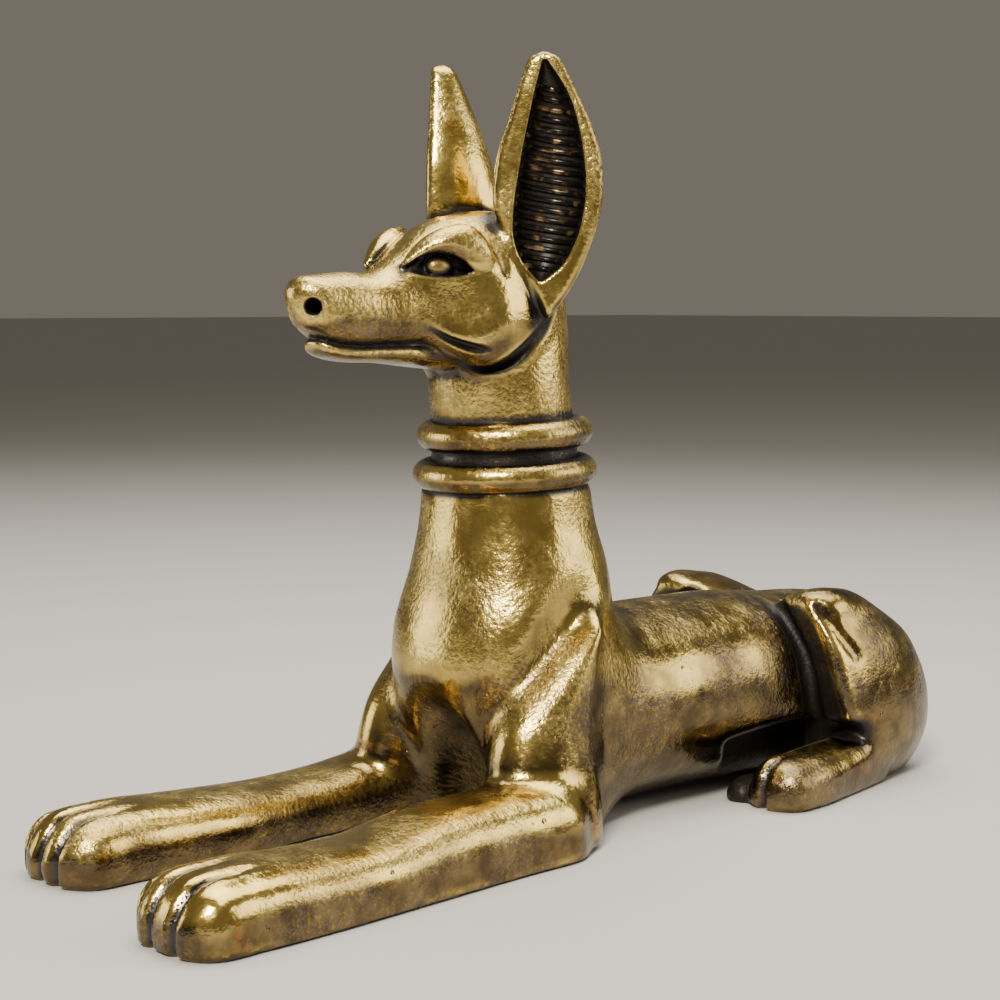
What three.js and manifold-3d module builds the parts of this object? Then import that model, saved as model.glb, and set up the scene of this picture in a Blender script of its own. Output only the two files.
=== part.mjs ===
// A lying jackal cast in one piece of solid brass: head up, ears pricked,
// forelegs stretched out in front, haunches folded, tail round the right flank.
// Millimetres, +Z up. It looks along -Y, its left side is +X, and it rests on z = 0.
import * as THREE from 'three';
import Module from 'manifold-3d';

// Sizes of the casting
const BODY_LENGTH = 29.2;      // neck axis to the back of the rump
const BODY_WIDTH = 16.0;       // across both haunches
const BACK_HEIGHT = 10.3;      // resting plane to the top of the back
const CHEST_HEIGHT = 17.3;     // resting plane to the foot of the neck
const CHEST_WIDTH = 11.0;
const CHEST_DEPTH = 10.2;
const ARCH_WIDTH = 6.7;        // hollow under the chest, between the upper arms
const ARCH_HEIGHT = 7.1;
const LEG_REACH = 25.15;       // neck axis to the tip of the left forepaw
const LEG_STANCE = 6.0;        // middle plane to the middle of a foreleg
const LEG_WIDTH = 5.4;
const LEG_HEIGHT = 3.45;
const RIGHT_PAW_BACK = 1.75;   // how far the right forepaw lies behind the left one
const FOOT_LENGTH = 10.5;      // hind foot, toes to hock
const FOOT_HEIGHT = 2.9;
const TAIL_THICKNESS = 2.1;
const NECK_WIDTH = 6.9;
const NECK_LENGTH = 5.4;       // foot of the neck to the underside of the jaw
const COLLAR_WIDTH = 9.04;     // outside of the lower collar ring
const COLLAR_ROPE = 1.44;      // thickness of one ring
const HEAD_LENGTH = 15.1;      // nose to nape
const HEAD_WIDTH = 6.7;
const HEAD_HEIGHT = 7.3;       // underside of the jaw to the crown
const NOSE_SLOPE = 0.33;       // how far the front of the nose slopes back as it comes down
const EAR_HEIGHT = 12.5;
const EAR_WIDTH = 5.2;
const EAR_DEPTH = 3.5;
const EAR_BOWL = 1.3;          // depth of the hollow of an ear
const EAR_TURN = 48.7;         // degrees that the open side of an ear looks outward
const TOE_GROOVE = 0.22;       // half width of a groove between two toes
const GROOVE_DEPTH = 0.36;

// How finely the form is worked out
const SAMPLE = 0.36;           // spacing of the samples of the form
const FACETS = 9500;           // flat facets kept on the finished casting
const TINY = 1e-6;

// Blends between forms
function softMin(a, b, k) {
  const h = Math.max(k - Math.abs(a - b), 0) / k;
  return Math.min(a, b) - h * h * k * 0.25;
}
const softMax = (a, b, k) => -softMin(-a, -b, k);
const clamp = (v, lo, hi) => Math.min(Math.max(v, lo), hi);
const radians = (degrees) => degrees * Math.PI / 180;
const long = (a, b, c = 0) => Math.sqrt(a * a + b * b + c * c);
// A surface with a soft groove pressed into it; off is the distance to the groove's line
const pressed = (d, off, depth, width) => d + depth * Math.exp(-((off / width) ** 2));

// A ruler turns shares of a part's own width, length and height into millimetres.
const ruler = (wide, long, high, y0 = 0, z0 = 0) => ({ wide, long, high, y0, z0 });
const place = (r, [x, y, z]) => [x * r.wide, r.y0 + y * r.long, r.z0 + z * r.high];

// A smooth curve through values given at rising places
function curve(places, values) {
  const last = places.length - 1;
  const rise = (i) => (values[i + 1] - values[i]) / (places[i + 1] - places[i]);
  const slopes = places.map((_, i) => {
    if (i === 0) return rise(0);
    if (i === last) return rise(last - 1);
    const before = places[i] - places[i - 1];
    const after = places[i + 1] - places[i];
    return (rise(i - 1) * after + rise(i) * before) / (before + after);
  });
  const at = (t) => {
    let i = 0;
    while (i < last - 1 && t > places[i + 1]) i += 1;
    const span = places[i + 1] - places[i];
    const u = (t - places[i]) / span;
    const v = 1 - u;
    return v * v * (1 + 2 * u) * values[i] + u * v * v * span * slopes[i]
      + u * u * (1 + 2 * v) * values[i + 1] - u * u * v * span * slopes[i + 1];
  };
  // Worked out once in even steps, then read off
  const steps = 240;
  const whole = places[last] - places[0];
  const read = Float64Array.from({ length: steps + 2 },
    (_, n) => at(places[0] + whole * Math.min(n / steps, 1)));
  return (where) => {
    const t = clamp((where - places[0]) / whole, 0, 1) * steps;
    const n = Math.floor(t);
    return read[n] + (t - n) * (read[n + 1] - read[n]);
  };
}

// Distance to an oval section of the given half sizes; power 2 is an ellipse, more is squarer
function oval(u, v, halfU, halfV, power) {
  const a = Math.abs(u) / halfU;
  const b = Math.abs(v) / halfV;
  const q = Math.max(Math.pow(Math.pow(a, power) + Math.pow(b, power), 1 / power), TINY);
  const slope = long(Math.pow(a / q, power - 1) / halfU, Math.pow(b / q, power - 1) / halfV);
  return (q - 1) / Math.max(slope, TINY);
}

// A form with the box that holds it; away from the box the distance to the box will do
function boxed(low, high, form) {
  const away = 3;
  return (x, y, z) => {
    const gap = Math.max(low[0] - x, x - high[0], low[1] - y, y - high[1], low[2] - z, z - high[2]);
    return gap > away ? gap : form(x, y, z);
  };
}

// A body lofted through oval stations [place, u centre, v centre, half u, half v], in mm.
// order tells which of t, u and v runs along x, y and z.
function loft(stations, order, ends, power) {
  const places = stations.map((s) => s[0]);
  const [uc, vc, hu, hv] = [1, 2, 3, 4].map((n) => curve(places, stations.map((s) => s[n])));
  const [first, last] = [places[0], places[places.length - 1]];
  const extent = (sign) => [0, 1, 2].map((n) => Math.max(...stations.map(
    (s) => sign * s[n] + (n ? s[n + 2] : 0))) * sign);
  const [low, high] = [extent(-1), extent(1)].map((corner) => order.map((n) => corner[n]));
  return boxed(low, high, (...p) => {
    const t = p[order.indexOf(0)];
    const side = oval(p[order.indexOf(1)] - uc(t), p[order.indexOf(2)] - vc(t), hu(t), hv(t), power);
    return softMax(side, Math.max(first - t, t - last), ends);
  });
}
// Stations [along, across, up, half width, half height] of a body that runs along y
const loftAlong = (r, rows, ends, power) => loft(rows.map(([y, x, z, w, h]) => [r.y0 + y * r.long,
  x * r.wide, r.z0 + z * r.high, w * r.wide, h * r.high]), [1, 0, 2], ends, power);
// Stations [up, across, along, half width, half length] of a body that stands up
const loftUp = (r, rows, ends, power) => loft(rows.map(([z, x, y, w, l]) => [r.z0 + z * r.high,
  x * r.wide, r.y0 + y * r.long, w * r.wide, l * r.long]), [1, 2, 0], ends, power);

// A cord of tapering links on a smooth line through [across, along, up, radius]
function cord(r, rows, thickness = 1) {
  const given = rows.map((row) => [...place(r, row), row[3] * thickness]);
  const lines = [0, 1, 2, 3].map((n) => curve(given.map((_, i) => i), given.map((row) => row[n])));
  const knots = Array.from({ length: 4 * (rows.length - 1) + 1 }, (_, i) => lines.map((line) => line(i / 4)));
  const links = knots.slice(1).map((b, i) => {
    const a = knots[i];
    const run = [b[0] - a[0], b[1] - a[1], b[2] - a[2]];
    return { a, run, taper: b[3] - a[3], square: run[0] ** 2 + run[1] ** 2 + run[2] ** 2 };
  });
  const extent = (sign) => [0, 1, 2].map((n) => Math.max(...knots.map((k) => sign * k[n] + k[3])) * sign);
  return boxed(extent(-1), extent(1), (x, y, z) => {
    let nearest = Infinity;
    for (const { a, run, taper, square } of links) {
      const [px, py, pz] = [x - a[0], y - a[1], z - a[2]];
      const t = clamp((px * run[0] + py * run[1] + pz * run[2]) / square, 0, 1);
      const off = long(px - t * run[0], py - t * run[1], pz - t * run[2]);
      nearest = Math.min(nearest, off - a[3] - t * taper);
    }
    return nearest;
  });
}

// An ellipsoid with its centre in shares of a ruler and half sizes in mm, tipped about x
function ellipsoid(r, centre, [hx, hy, hz], tip = 0) {
  const [cx, cy, cz] = place(r, centre);
  const c = Math.cos(radians(tip));
  const s = Math.sin(radians(tip));
  const most = tip ? Math.max(hy, hz) : 0;
  const [ey, ez] = [Math.max(hy, most), Math.max(hz, most)];
  return boxed([cx - hx, cy - ey, cz - ez], [cx + hx, cy + ey, cz + ez], (x, y, z) => {
    const px = x - cx;
    const py = (y - cy) * c + (z - cz) * s;
    const pz = (z - cz) * c - (y - cy) * s;
    const near = long(px / hx, py / hy, pz / hz);
    const slope = long(px / (hx * hx), py / (hy * hy), pz / (hz * hz));
    return near * (near - 1) / Math.max(slope, TINY);
  });
}

// Rulers of the parts of the animal
const trunk = ruler(BODY_WIDTH, BODY_LENGTH, BACK_HEIGHT);
const chestRuler = ruler(CHEST_WIDTH, CHEST_DEPTH, CHEST_HEIGHT);
const neckRuler = ruler(NECK_WIDTH, NECK_WIDTH, NECK_LENGTH, 0, CHEST_HEIGHT);
const headRuler = ruler(HEAD_WIDTH, HEAD_LENGTH, HEAD_HEIGHT, -0.858 * HEAD_LENGTH,
  CHEST_HEIGHT + NECK_LENGTH);

// Torso: a long rounded barrel that lies on its belly
const torso = loftAlong(trunk, [
  [-0.050, 0, 0.490, 0.325, 0.510],
  [0.100, 0, 0.490, 0.334, 0.510],
  [0.220, 0, 0.505, 0.338, 0.483],
  [0.361, 0, 0.508, 0.331, 0.482],
  [0.533, 0, 0.500, 0.325, 0.485],
  [0.704, 0, 0.460, 0.325, 0.470],
  [0.875, 0, 0.425, 0.306, 0.450],
], 3.0, 2.1);
const rump = ellipsoid(trunk, [0, 0.738, 0.420],
  [0.345 * BODY_WIDTH, 0.250 * BODY_LENGTH, 0.490 * BACK_HEIGHT]);

// Haunch: the folded thigh, cut off in front by the bent plane of the shin, with the knee over it
const thigh = loftUp(trunk, [
  [-0.060, 0.215, 0.664, 0.175, 0.202],
  [0.040, 0.222, 0.664, 0.222, 0.230],
  [0.125, 0.229, 0.664, 0.250, 0.242],
  [0.230, 0.233, 0.664, 0.267, 0.256],
  [0.388, 0.234, 0.664, 0.269, 0.260],
  [0.602, 0.238, 0.658, 0.245, 0.240],
  [0.777, 0.250, 0.648, 0.200, 0.198],
  [0.890, 0.268, 0.638, 0.145, 0.140],
  [0.960, 0.290, 0.632, 0.105, 0.095],
  [1.010, 0.305, 0.630, 0.065, 0.062],
], 0.7, 2.2);
const knee = ellipsoid(trunk, [0.325, 0.618, 0.910], [1.20, 1.50, 1.08]);
const shinLine = cord(trunk, [
  [0.375, 0.575, 0.945, 0],
  [0.415, 0.586, 0.870, 0],
  [0.445, 0.600, 0.790, 0],
  [0.466, 0.620, 0.710, 0],
]);
const shinCrease = cord(trunk, [
  [0.060, 0.572, 1.020, 0.25],
  [0.185, 0.574, 0.935, 0.36],
  [0.250, 0.578, 0.825, 0.42],
  [0.300, 0.584, 0.690, 0.45],
  [0.324, 0.586, 0.544, 0.45],
  [0.320, 0.600, 0.388, 0.42],
]);
function haunch(x, y, z) {
  const [kneeX, kneeY, kneeZ] = place(trunk, [0.375, 0.564, 0.903]);
  const down = Math.max(kneeZ - z, 0);
  const front = kneeY + 0.05 * down + 0.022 * down * down - 0.08 * (x - kneeX) - y;
  const folded = softMax(thigh(x, y, z), front, 0.6);
  return pressed(softMin(folded, knee(x, y, z), 0.6), shinLine(x, y, z), 0.38, 0.42);
}

// Hind foot: it lies along the flank, its top sloping outward, with a groove between two toes
const footRuler = ruler(BODY_WIDTH, FOOT_LENGTH, FOOT_HEIGHT, 0.738 * BODY_LENGTH - FOOT_LENGTH);
const footForm = loftAlong(footRuler, [
  [0.000, 0.465, 0.264, 0.070, 0.430],
  [0.086, 0.465, 0.264, 0.105, 0.600],
  [0.238, 0.460, 0.264, 0.112, 0.660],
  [0.571, 0.425, 0.264, 0.104, 0.690],
  [1.000, 0.380, 0.264, 0.084, 0.780],
], 1.0, 2.4);
const footTilt = radians(18);
function hindFoot(x, y, z) {
  const [px, , pz] = place(footRuler, [0.4375, 0, 0.377]);
  const across = px + (x - px) * Math.cos(footTilt) - (z - pz) * Math.sin(footTilt);
  const up = pz + (z - pz) * Math.cos(footTilt) + (x - px) * Math.sin(footTilt);
  const fade = clamp(1.4 - (y - footRuler.y0) / (0.24 * FOOT_LENGTH), 0, 1);
  return pressed(footForm(across, y, up), x - 0.447 * BODY_WIDTH, GROOVE_DEPTH * fade, TOE_GROOVE);
}
// Recess under the flank, above and in front of the hind foot
function footRecess(x, y, z) {
  const behind = Math.max(0.62 * BODY_LENGTH - y, 0) / (0.26 * BODY_LENGTH);
  const top = BACK_HEIGHT * (0.350 - 0.058 * behind ** 2);
  const front = footRuler.y0 - 0.40 + 1.2 * (top - z);
  return Math.max(z - top, front - y, y - 0.635 * BODY_LENGTH, 0.232 * BODY_WIDTH - x);
}

// Tail: down the rump and forward round the right haunch
const tail = cord(trunk, [
  [0.000, 0.909, 0.718, 0.33],
  [0.000, 0.968, 0.505, 0.45],
  [-0.037, 0.976, 0.291, 0.50],
  [-0.130, 0.950, 0.126, 0.50],
  [-0.275, 0.905, 0.068, 0.48],
  [-0.402, 0.825, 0.068, 0.43],
  [-0.468, 0.735, 0.068, 0.29],
], TAIL_THICKNESS);

// Chest: an upright column from the resting plane to the foot of the neck, dished at the
// shoulders, with the upper arms standing out from it
const chest = loftUp(chestRuler, [
  [-0.087, 0, 0.074, 0.440, 0.333],
  [0.173, 0, 0.025, 0.450, 0.392],
  [0.347, 0, -0.025, 0.480, 0.455],
  [0.450, 0, -0.025, 0.510, 0.490],
  [0.560, 0, -0.012, 0.512, 0.492],
  [0.740, 0, 0.025, 0.448, 0.452],
  [0.867, 0, 0.015, 0.391, 0.412],
  [1.000, 0, 0.005, 0.365, 0.388],
], 1.0, 2.15);
const shoulderDish = ellipsoid(chestRuler, [1.22, -0.950, 0.780], [9.6, 9.6, 8.0]);
const shoulderBand = ellipsoid(chestRuler, [0.730, -0.165, 0.560], [3.2, 5.6, 2.0], 50);
const upperArm = loftUp(chestRuler, [
  [0.000, 0.490, -0.205, 0.235, 0.265],
  [0.120, 0.472, -0.205, 0.225, 0.285],
  [0.240, 0.450, -0.198, 0.195, 0.285],
  [0.350, 0.446, -0.170, 0.172, 0.245],
  [0.440, 0.450, -0.100, 0.158, 0.180],
  [0.530, 0.456, -0.020, 0.138, 0.098],
  [0.595, 0.460, 0.052, 0.105, 0.042],
  [0.635, 0.455, 0.085, 0.060, 0.022],
], 0.8, 2.3);
const arch = ellipsoid(chestRuler, [0.004, -0.672, 0.127],
  [0.46 * ARCH_WIDTH, 0.49 * CHEST_DEPTH, ARCH_HEIGHT - 0.127 * CHEST_HEIGHT]);
const archDepth = ellipsoid(chestRuler, [-0.040, -0.330, 0.050],
  [0.31 * ARCH_WIDTH, 0.40 * CHEST_DEPTH, 0.245 * CHEST_HEIGHT]);

// Foreleg: flat below, rounded above, slimmer at the wrist, with grooves between the toes.
// side is 1 for the left and -1 for the right, lean is how far the paw lies off straight, and
// grooves are places across the paw in shares of its width.
function foreleg(side, tip, lean, forearmDrop, grooves) {
  const back = (LEG_REACH + tip) / LEG_REACH;
  const r = ruler(LEG_WIDTH, LEG_REACH, LEG_HEIGHT, tip);
  const low = forearmDrop / LEG_HEIGHT;
  const across = (share) => (LEG_STANCE + lean * share) / LEG_WIDTH;
  const form = loftAlong(r, [
    [0.000, across(1.00), 0.232, 0.410, 0.406],
    [0.048, across(1.00), 0.232, 0.520, 0.594],
    [0.135, across(0.98), 0.232, 0.530, 0.667],
    [0.278, across(0.90), 0.232, 0.515, 0.623],
    [0.417, across(0.70), 0.232, 0.505, 0.609 - low * 0.2],
    [0.565 - back, across(0.40), 0.232, 0.506, 0.739 - low],
    [0.744 - back, across(0.08), 0.232, 0.505, 0.768 - low],
    [0.925 - back, across(0.00), 0.232, 0.481, 0.754],
  ], 1.6, 2.8);
  return (x, y, z) => {
    const fade = clamp(1.5 - (y - tip) / (0.13 * LEG_REACH), 0, 1);
    return grooves.reduce((d, share) => pressed(
      d, side * x - LEG_STANCE - lean - share * LEG_WIDTH, GROOVE_DEPTH * fade, TOE_GROOVE),
    form(side * x, y, z));
  };
}
const leftLeg = foreleg(1, -LEG_REACH, 1.45, 0, [-0.35, -0.11, 0.19]);
const rightLeg = foreleg(-1, RIGHT_PAW_BACK - LEG_REACH, -1.3, 0.75, [-0.195, 0.04, 0.31]);

// Neck and the double collar, whose rings dip a little to the front
const neck = loftUp(neckRuler, [
  [-0.333, 0, 0.000, 0.551, 0.551],
  [0.315, 0, -0.007, 0.514, 0.514],
  [0.870, 0, -0.058, 0.493, 0.500],
  [1.333, 0, -0.036, 0.464, 0.478],
  [1.889, 0, -0.051, 0.406, 0.377],
], 1.0, 2);
const collarRings = [[0.028, 1], [0.38, 0.956]].map(([share, width]) => ({
  height: CHEST_HEIGHT + share * NECK_LENGTH,
  radius: (COLLAR_WIDTH * width - COLLAR_ROPE) / 2,
}));
function collar(x, y, z) {
  let nearest = Infinity;
  for (const { height, radius } of collarRings) {
    nearest = Math.min(nearest, long(long(x, y) - radius, (z - height - 0.045 * y) * 0.95));
  }
  return nearest - COLLAR_ROPE / 2;
}

// Head: skull and upper jaw in stations [along, top, bottom, half width]
const skull = loftAlong(headRuler, [
  [-0.020, 0.545, 0.300, 0.130],
  [0.040, 0.572, 0.236, 0.186],
  [0.075, 0.580, 0.205, 0.208],
  [0.120, 0.588, 0.152, 0.225],
  [0.190, 0.598, 0.115, 0.248],
  [0.320, 0.616, 0.108, 0.285],
  [0.375, 0.688, 0.103, 0.312],
  [0.460, 0.822, 0.090, 0.370],
  [0.550, 0.932, 0.078, 0.425],
  [0.656, 0.985, 0.068, 0.478],
  [0.788, 1.000, 0.082, 0.500],
  [0.894, 0.904, 0.123, 0.463],
  [1.000, 0.726, 0.178, 0.358],
].map(([y, top, bottom, w]) => [y, 0, (top + bottom) / 2, w, (top - bottom) / 2]), 1.2, 2.3);
const cheek = ellipsoid(headRuler, [0.262, 0.672, 0.300],
  [0.297 * HEAD_WIDTH, 0.240 * HEAD_LENGTH, 0.362 * HEAD_HEIGHT], -17);
const lowerJaw = loftAlong(headRuler, [
  [0.078, 0, 0.160, 0.075, 0.034],
  [0.100, 0, 0.133, 0.130, 0.048],
  [0.140, 0, 0.108, 0.160, 0.054],
  [0.190, 0, 0.094, 0.182, 0.056],
  [0.316, 0, 0.092, 0.212, 0.065],
  [0.444, 0, 0.085, 0.240, 0.088],
  [0.600, 0, 0.075, 0.255, 0.110],
], 0.4, 2.2);
const brow = loftAlong(headRuler, [
  [0.358, 0.212, 0.640, 0.020, 0.015],
  [0.384, 0.230, 0.696, 0.050, 0.026],
  [0.424, 0.268, 0.758, 0.085, 0.052],
  [0.475, 0.308, 0.789, 0.115, 0.085],
  [0.520, 0.340, 0.777, 0.125, 0.125],
  [0.570, 0.372, 0.745, 0.118, 0.150],
  [0.612, 0.408, 0.690, 0.085, 0.117],
  [0.643, 0.432, 0.650, 0.030, 0.040],
], 0.15, 2.0);
const eyeSocket = cord(headRuler, [
  [0.250, 0.380, 0.612, 0.04],
  [0.285, 0.412, 0.632, 0.34],
  [0.315, 0.455, 0.645, 0.52],
  [0.345, 0.505, 0.640, 0.50],
  [0.375, 0.560, 0.612, 0.34],
  [0.440, 0.640, 0.580, 0.10],
]);
const eyeball = ellipsoid(headRuler, [0.290, 0.478, 0.632], [0.45, 0.62, 0.44]);
const eyeHollow = ellipsoid(headRuler, [0.850, 0.450, 0.400], [3.2, 2.6, 2.0], 10);
// The finest cuts are made this much wider than on the hand-finished skin, to show on flat facets
const FINE_CUT = 1.4;
const cheekCrease = cord(headRuler, [
  [0.315, 0.432, 0.236, 0.03],
  [0.350, 0.482, 0.185, 0.12],
  [0.430, 0.550, 0.128, 0.20],
  [0.490, 0.600, 0.098, 0.12],
], FINE_CUT);
const mouth = cord(headRuler, [
  [0.000, 0.020, 0.230, 0.16],
  [0.080, 0.040, 0.238, 0.16],
  [0.135, 0.070, 0.218, 0.15],
  [0.160, 0.115, 0.158, 0.13],
  [0.190, 0.165, 0.122, 0.11],
  [0.205, 0.220, 0.126, 0.10],
  [0.215, 0.290, 0.136, 0.10],
  [0.240, 0.396, 0.151, 0.13],
  [0.270, 0.440, 0.112, 0.22],
], FINE_CUT);
const nostril = cord(headRuler, [
  [0.200, 0.020, 0.384, 0.37],
  [0.130, 0.050, 0.384, 0.36],
  [0.070, 0.095, 0.386, 0.30],
]);
const browEdge = cord(headRuler, [
  [0.300, 0.600, 0.950, 0.06],
  [0.430, 0.640, 0.840, 0.16],
  [0.490, 0.662, 0.700, 0.16],
  [0.490, 0.668, 0.600, 0.05],
], FINE_CUT);
function head(x, y, z) {
  const side = Math.abs(x);
  const noseY = headRuler.y0 - 0.016 * HEAD_LENGTH;
  const noseZ = headRuler.z0 + 0.485 * HEAD_HEIGHT;
  const front = noseY + NOSE_SLOPE * Math.max(noseZ - z, 0) + 0.35 * x * x - y;
  let d = softMin(softMax(skull(x, y, z), front, 0.9), cheek(side, y, z), 0.8);
  d = softMin(d, lowerJaw(x, y, z), 0.1);
  d = softMax(d, -eyeHollow(side, y, z), 1.2);
  d = softMin(d, brow(side, y, z), 0.25);
  d = softMax(d, -browEdge(side, y, z), 0.3);
  d = softMax(d, -eyeSocket(side, y, z), 0.1);
  d = Math.min(d, eyeball(side, y, z));
  d = softMax(d, -cheekCrease(side, y, z), 0.15);
  d = softMax(d, -mouth(side, y, z), 0.1);
  return softMax(d, -nostril(side, y, z), 0.08);
}
const jawGroove = cord(headRuler, [
  [0.240, 0.418, 0.147, 0.12],
  [0.275, 0.447, 0.095, 0.22],
  [0.285, 0.500, 0.030, 0.30],
  [0.285, 0.570, -0.015, 0.34],
  [0.325, 0.634, -0.033, 0.36],
  [0.400, 0.672, -0.003, 0.38],
  [0.475, 0.702, 0.060, 0.38],
  [0.525, 0.752, 0.135, 0.36],
  [0.525, 0.814, 0.235, 0.33],
  [0.515, 0.880, 0.360, 0.26],
]);

// Ears: tall leaves with a flat open front turned outward and a rounded back, hollowed inside a
// smooth rim. Stations [up, half width, depth, sideways shift] in shares of the ear's own sizes.
const earStations = [
  [0.000, 0.010, 0.300, 0.010],
  [0.066, 0.110, 0.455, 0.035],
  [0.218, 0.312, 0.790, 0.040],
  [0.286, 0.394, 0.900, 0.020],
  [0.371, 0.462, 0.965, 0.017],
  [0.434, 0.497, 1.000, 0.012],
  [0.507, 0.501, 0.950, 0.018],
  [0.615, 0.473, 0.840, 0.025],
  [0.739, 0.378, 0.685, 0.027],
  [0.863, 0.267, 0.510, 0.002],
  [0.935, 0.196, 0.400, -0.012],
  [0.975, 0.145, 0.320, -0.018],
  [1.000, 0.075, 0.240, -0.018],
];
// Stations [up, half width, sideways shift] of the hollow of an ear
const hollowStations = [
  [0.147, 0.020, -0.050],
  [0.195, 0.145, -0.028],
  [0.283, 0.263, -0.015],
  [0.391, 0.311, 0.015],
  [0.499, 0.308, 0.042],
  [0.595, 0.283, 0.054],
  [0.723, 0.228, 0.057],
  [0.835, 0.155, 0.043],
  [0.907, 0.085, 0.015],
  [0.965, 0.015, -0.017],
];
const [earX, earY, earFoot] = place(headRuler, [0.621, 0.786, 0.296]);
const earCurve = (stations, n, size) => curve(stations.map((s) => earFoot + s[0] * EAR_HEIGHT),
  stations.map((s) => s[n] * size));
const earHalf = earCurve(earStations, 1, EAR_WIDTH);
const earBack = earCurve(earStations, 2, EAR_DEPTH);
const earShift = earCurve(earStations, 3, EAR_WIDTH);
const bowlHalf = earCurve(hollowStations, 1, EAR_WIDTH);
const bowlShift = earCurve(hollowStations, 2, EAR_WIDTH);
const bowlWidest = Math.max(...hollowStations.map((s) => s[1])) * EAR_WIDTH;
const [bowlLow, bowlHigh] = [hollowStations[0], hollowStations[hollowStations.length - 1]].map(
  (s) => earFoot + s[0] * EAR_HEIGHT);
const earOut = Math.sin(radians(EAR_TURN));
const earAhead = Math.cos(radians(EAR_TURN));
// How far a point lies in front of the open face of its ear, and to the side of its axis
const earFront = (x, y) => (Math.abs(x) - earX) * earOut - (y - earY) * earAhead;
const earAcross = (x, y) => (Math.abs(x) - earX) * earAhead + (y - earY) * earOut;
const earBox = [[-earX - EAR_WIDTH, earY - EAR_WIDTH, earFoot],
  [earX + EAR_WIDTH, earY + EAR_WIDTH, earFoot + EAR_HEIGHT]];
const ears = boxed(...earBox, (x, y, z) => {
  const front = earFront(x, y);
  const leaf = oval(earAcross(x, y) - earShift(z), Math.max(-front, 0), earHalf(z), earBack(z), 2);
  return softMax(softMax(leaf, front, 0.5), Math.max(z - earFoot - EAR_HEIGHT, earFoot - z), 0.4);
});
const bowls = boxed(...earBox, (x, y, z) => {
  const front = earFront(x, y);
  const half = bowlHalf(z);
  const bowl = oval(earAcross(x, y) - bowlShift(z), Math.min(front, 0), half,
    EAR_BOWL * Math.sqrt(half / bowlWidest), 2);
  return Math.max(bowl, z - bowlHigh, bowlLow - z, front - 1);
});

// The whole animal as one casting
function jackal(x, y, z) {
  const side = Math.abs(x);
  const front = softMax(chest(x, y, z), -shoulderDish(side, y, z), 0.7);
  let d = softMin(torso(x, y, z), front, 2.2);
  d = softMax(d, -shoulderBand(side, y, z), 1.2);
  d = softMin(d, upperArm(side, y, z), 0.35);
  d = softMax(d, -arch(x, y, z), 1.3);
  d = softMax(d, -archDepth(x, y, z), 0.5);
  d = softMin(d, leftLeg(x, y, z), 0.8);
  d = softMin(d, rightLeg(x, y, z), 0.8);
  d = softMin(d, rump(x, y, z), 1.0);
  d = softMin(d, haunch(side, y, z), 0.3);
  d = softMax(d, -shinCrease(side, y, z), 0.5);
  d = softMax(d, -footRecess(side, y, z), 0.6);
  d = softMin(d, hindFoot(side, y, z), 0.35);
  d = softMin(d, tail(x, y, z), 0.35);
  d = softMin(d, neck(x, y, z), 0.25);
  d = Math.min(d, collar(x, y, z));
  d = softMin(d, head(x, y, z), 0.45);
  d = softMax(d, -jawGroove(side, y, z), 0.25);
  d = softMin(d, ears(x, y, z), 0.35);
  return softMax(d, -bowls(x, y, z), 0.15);
}

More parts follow.
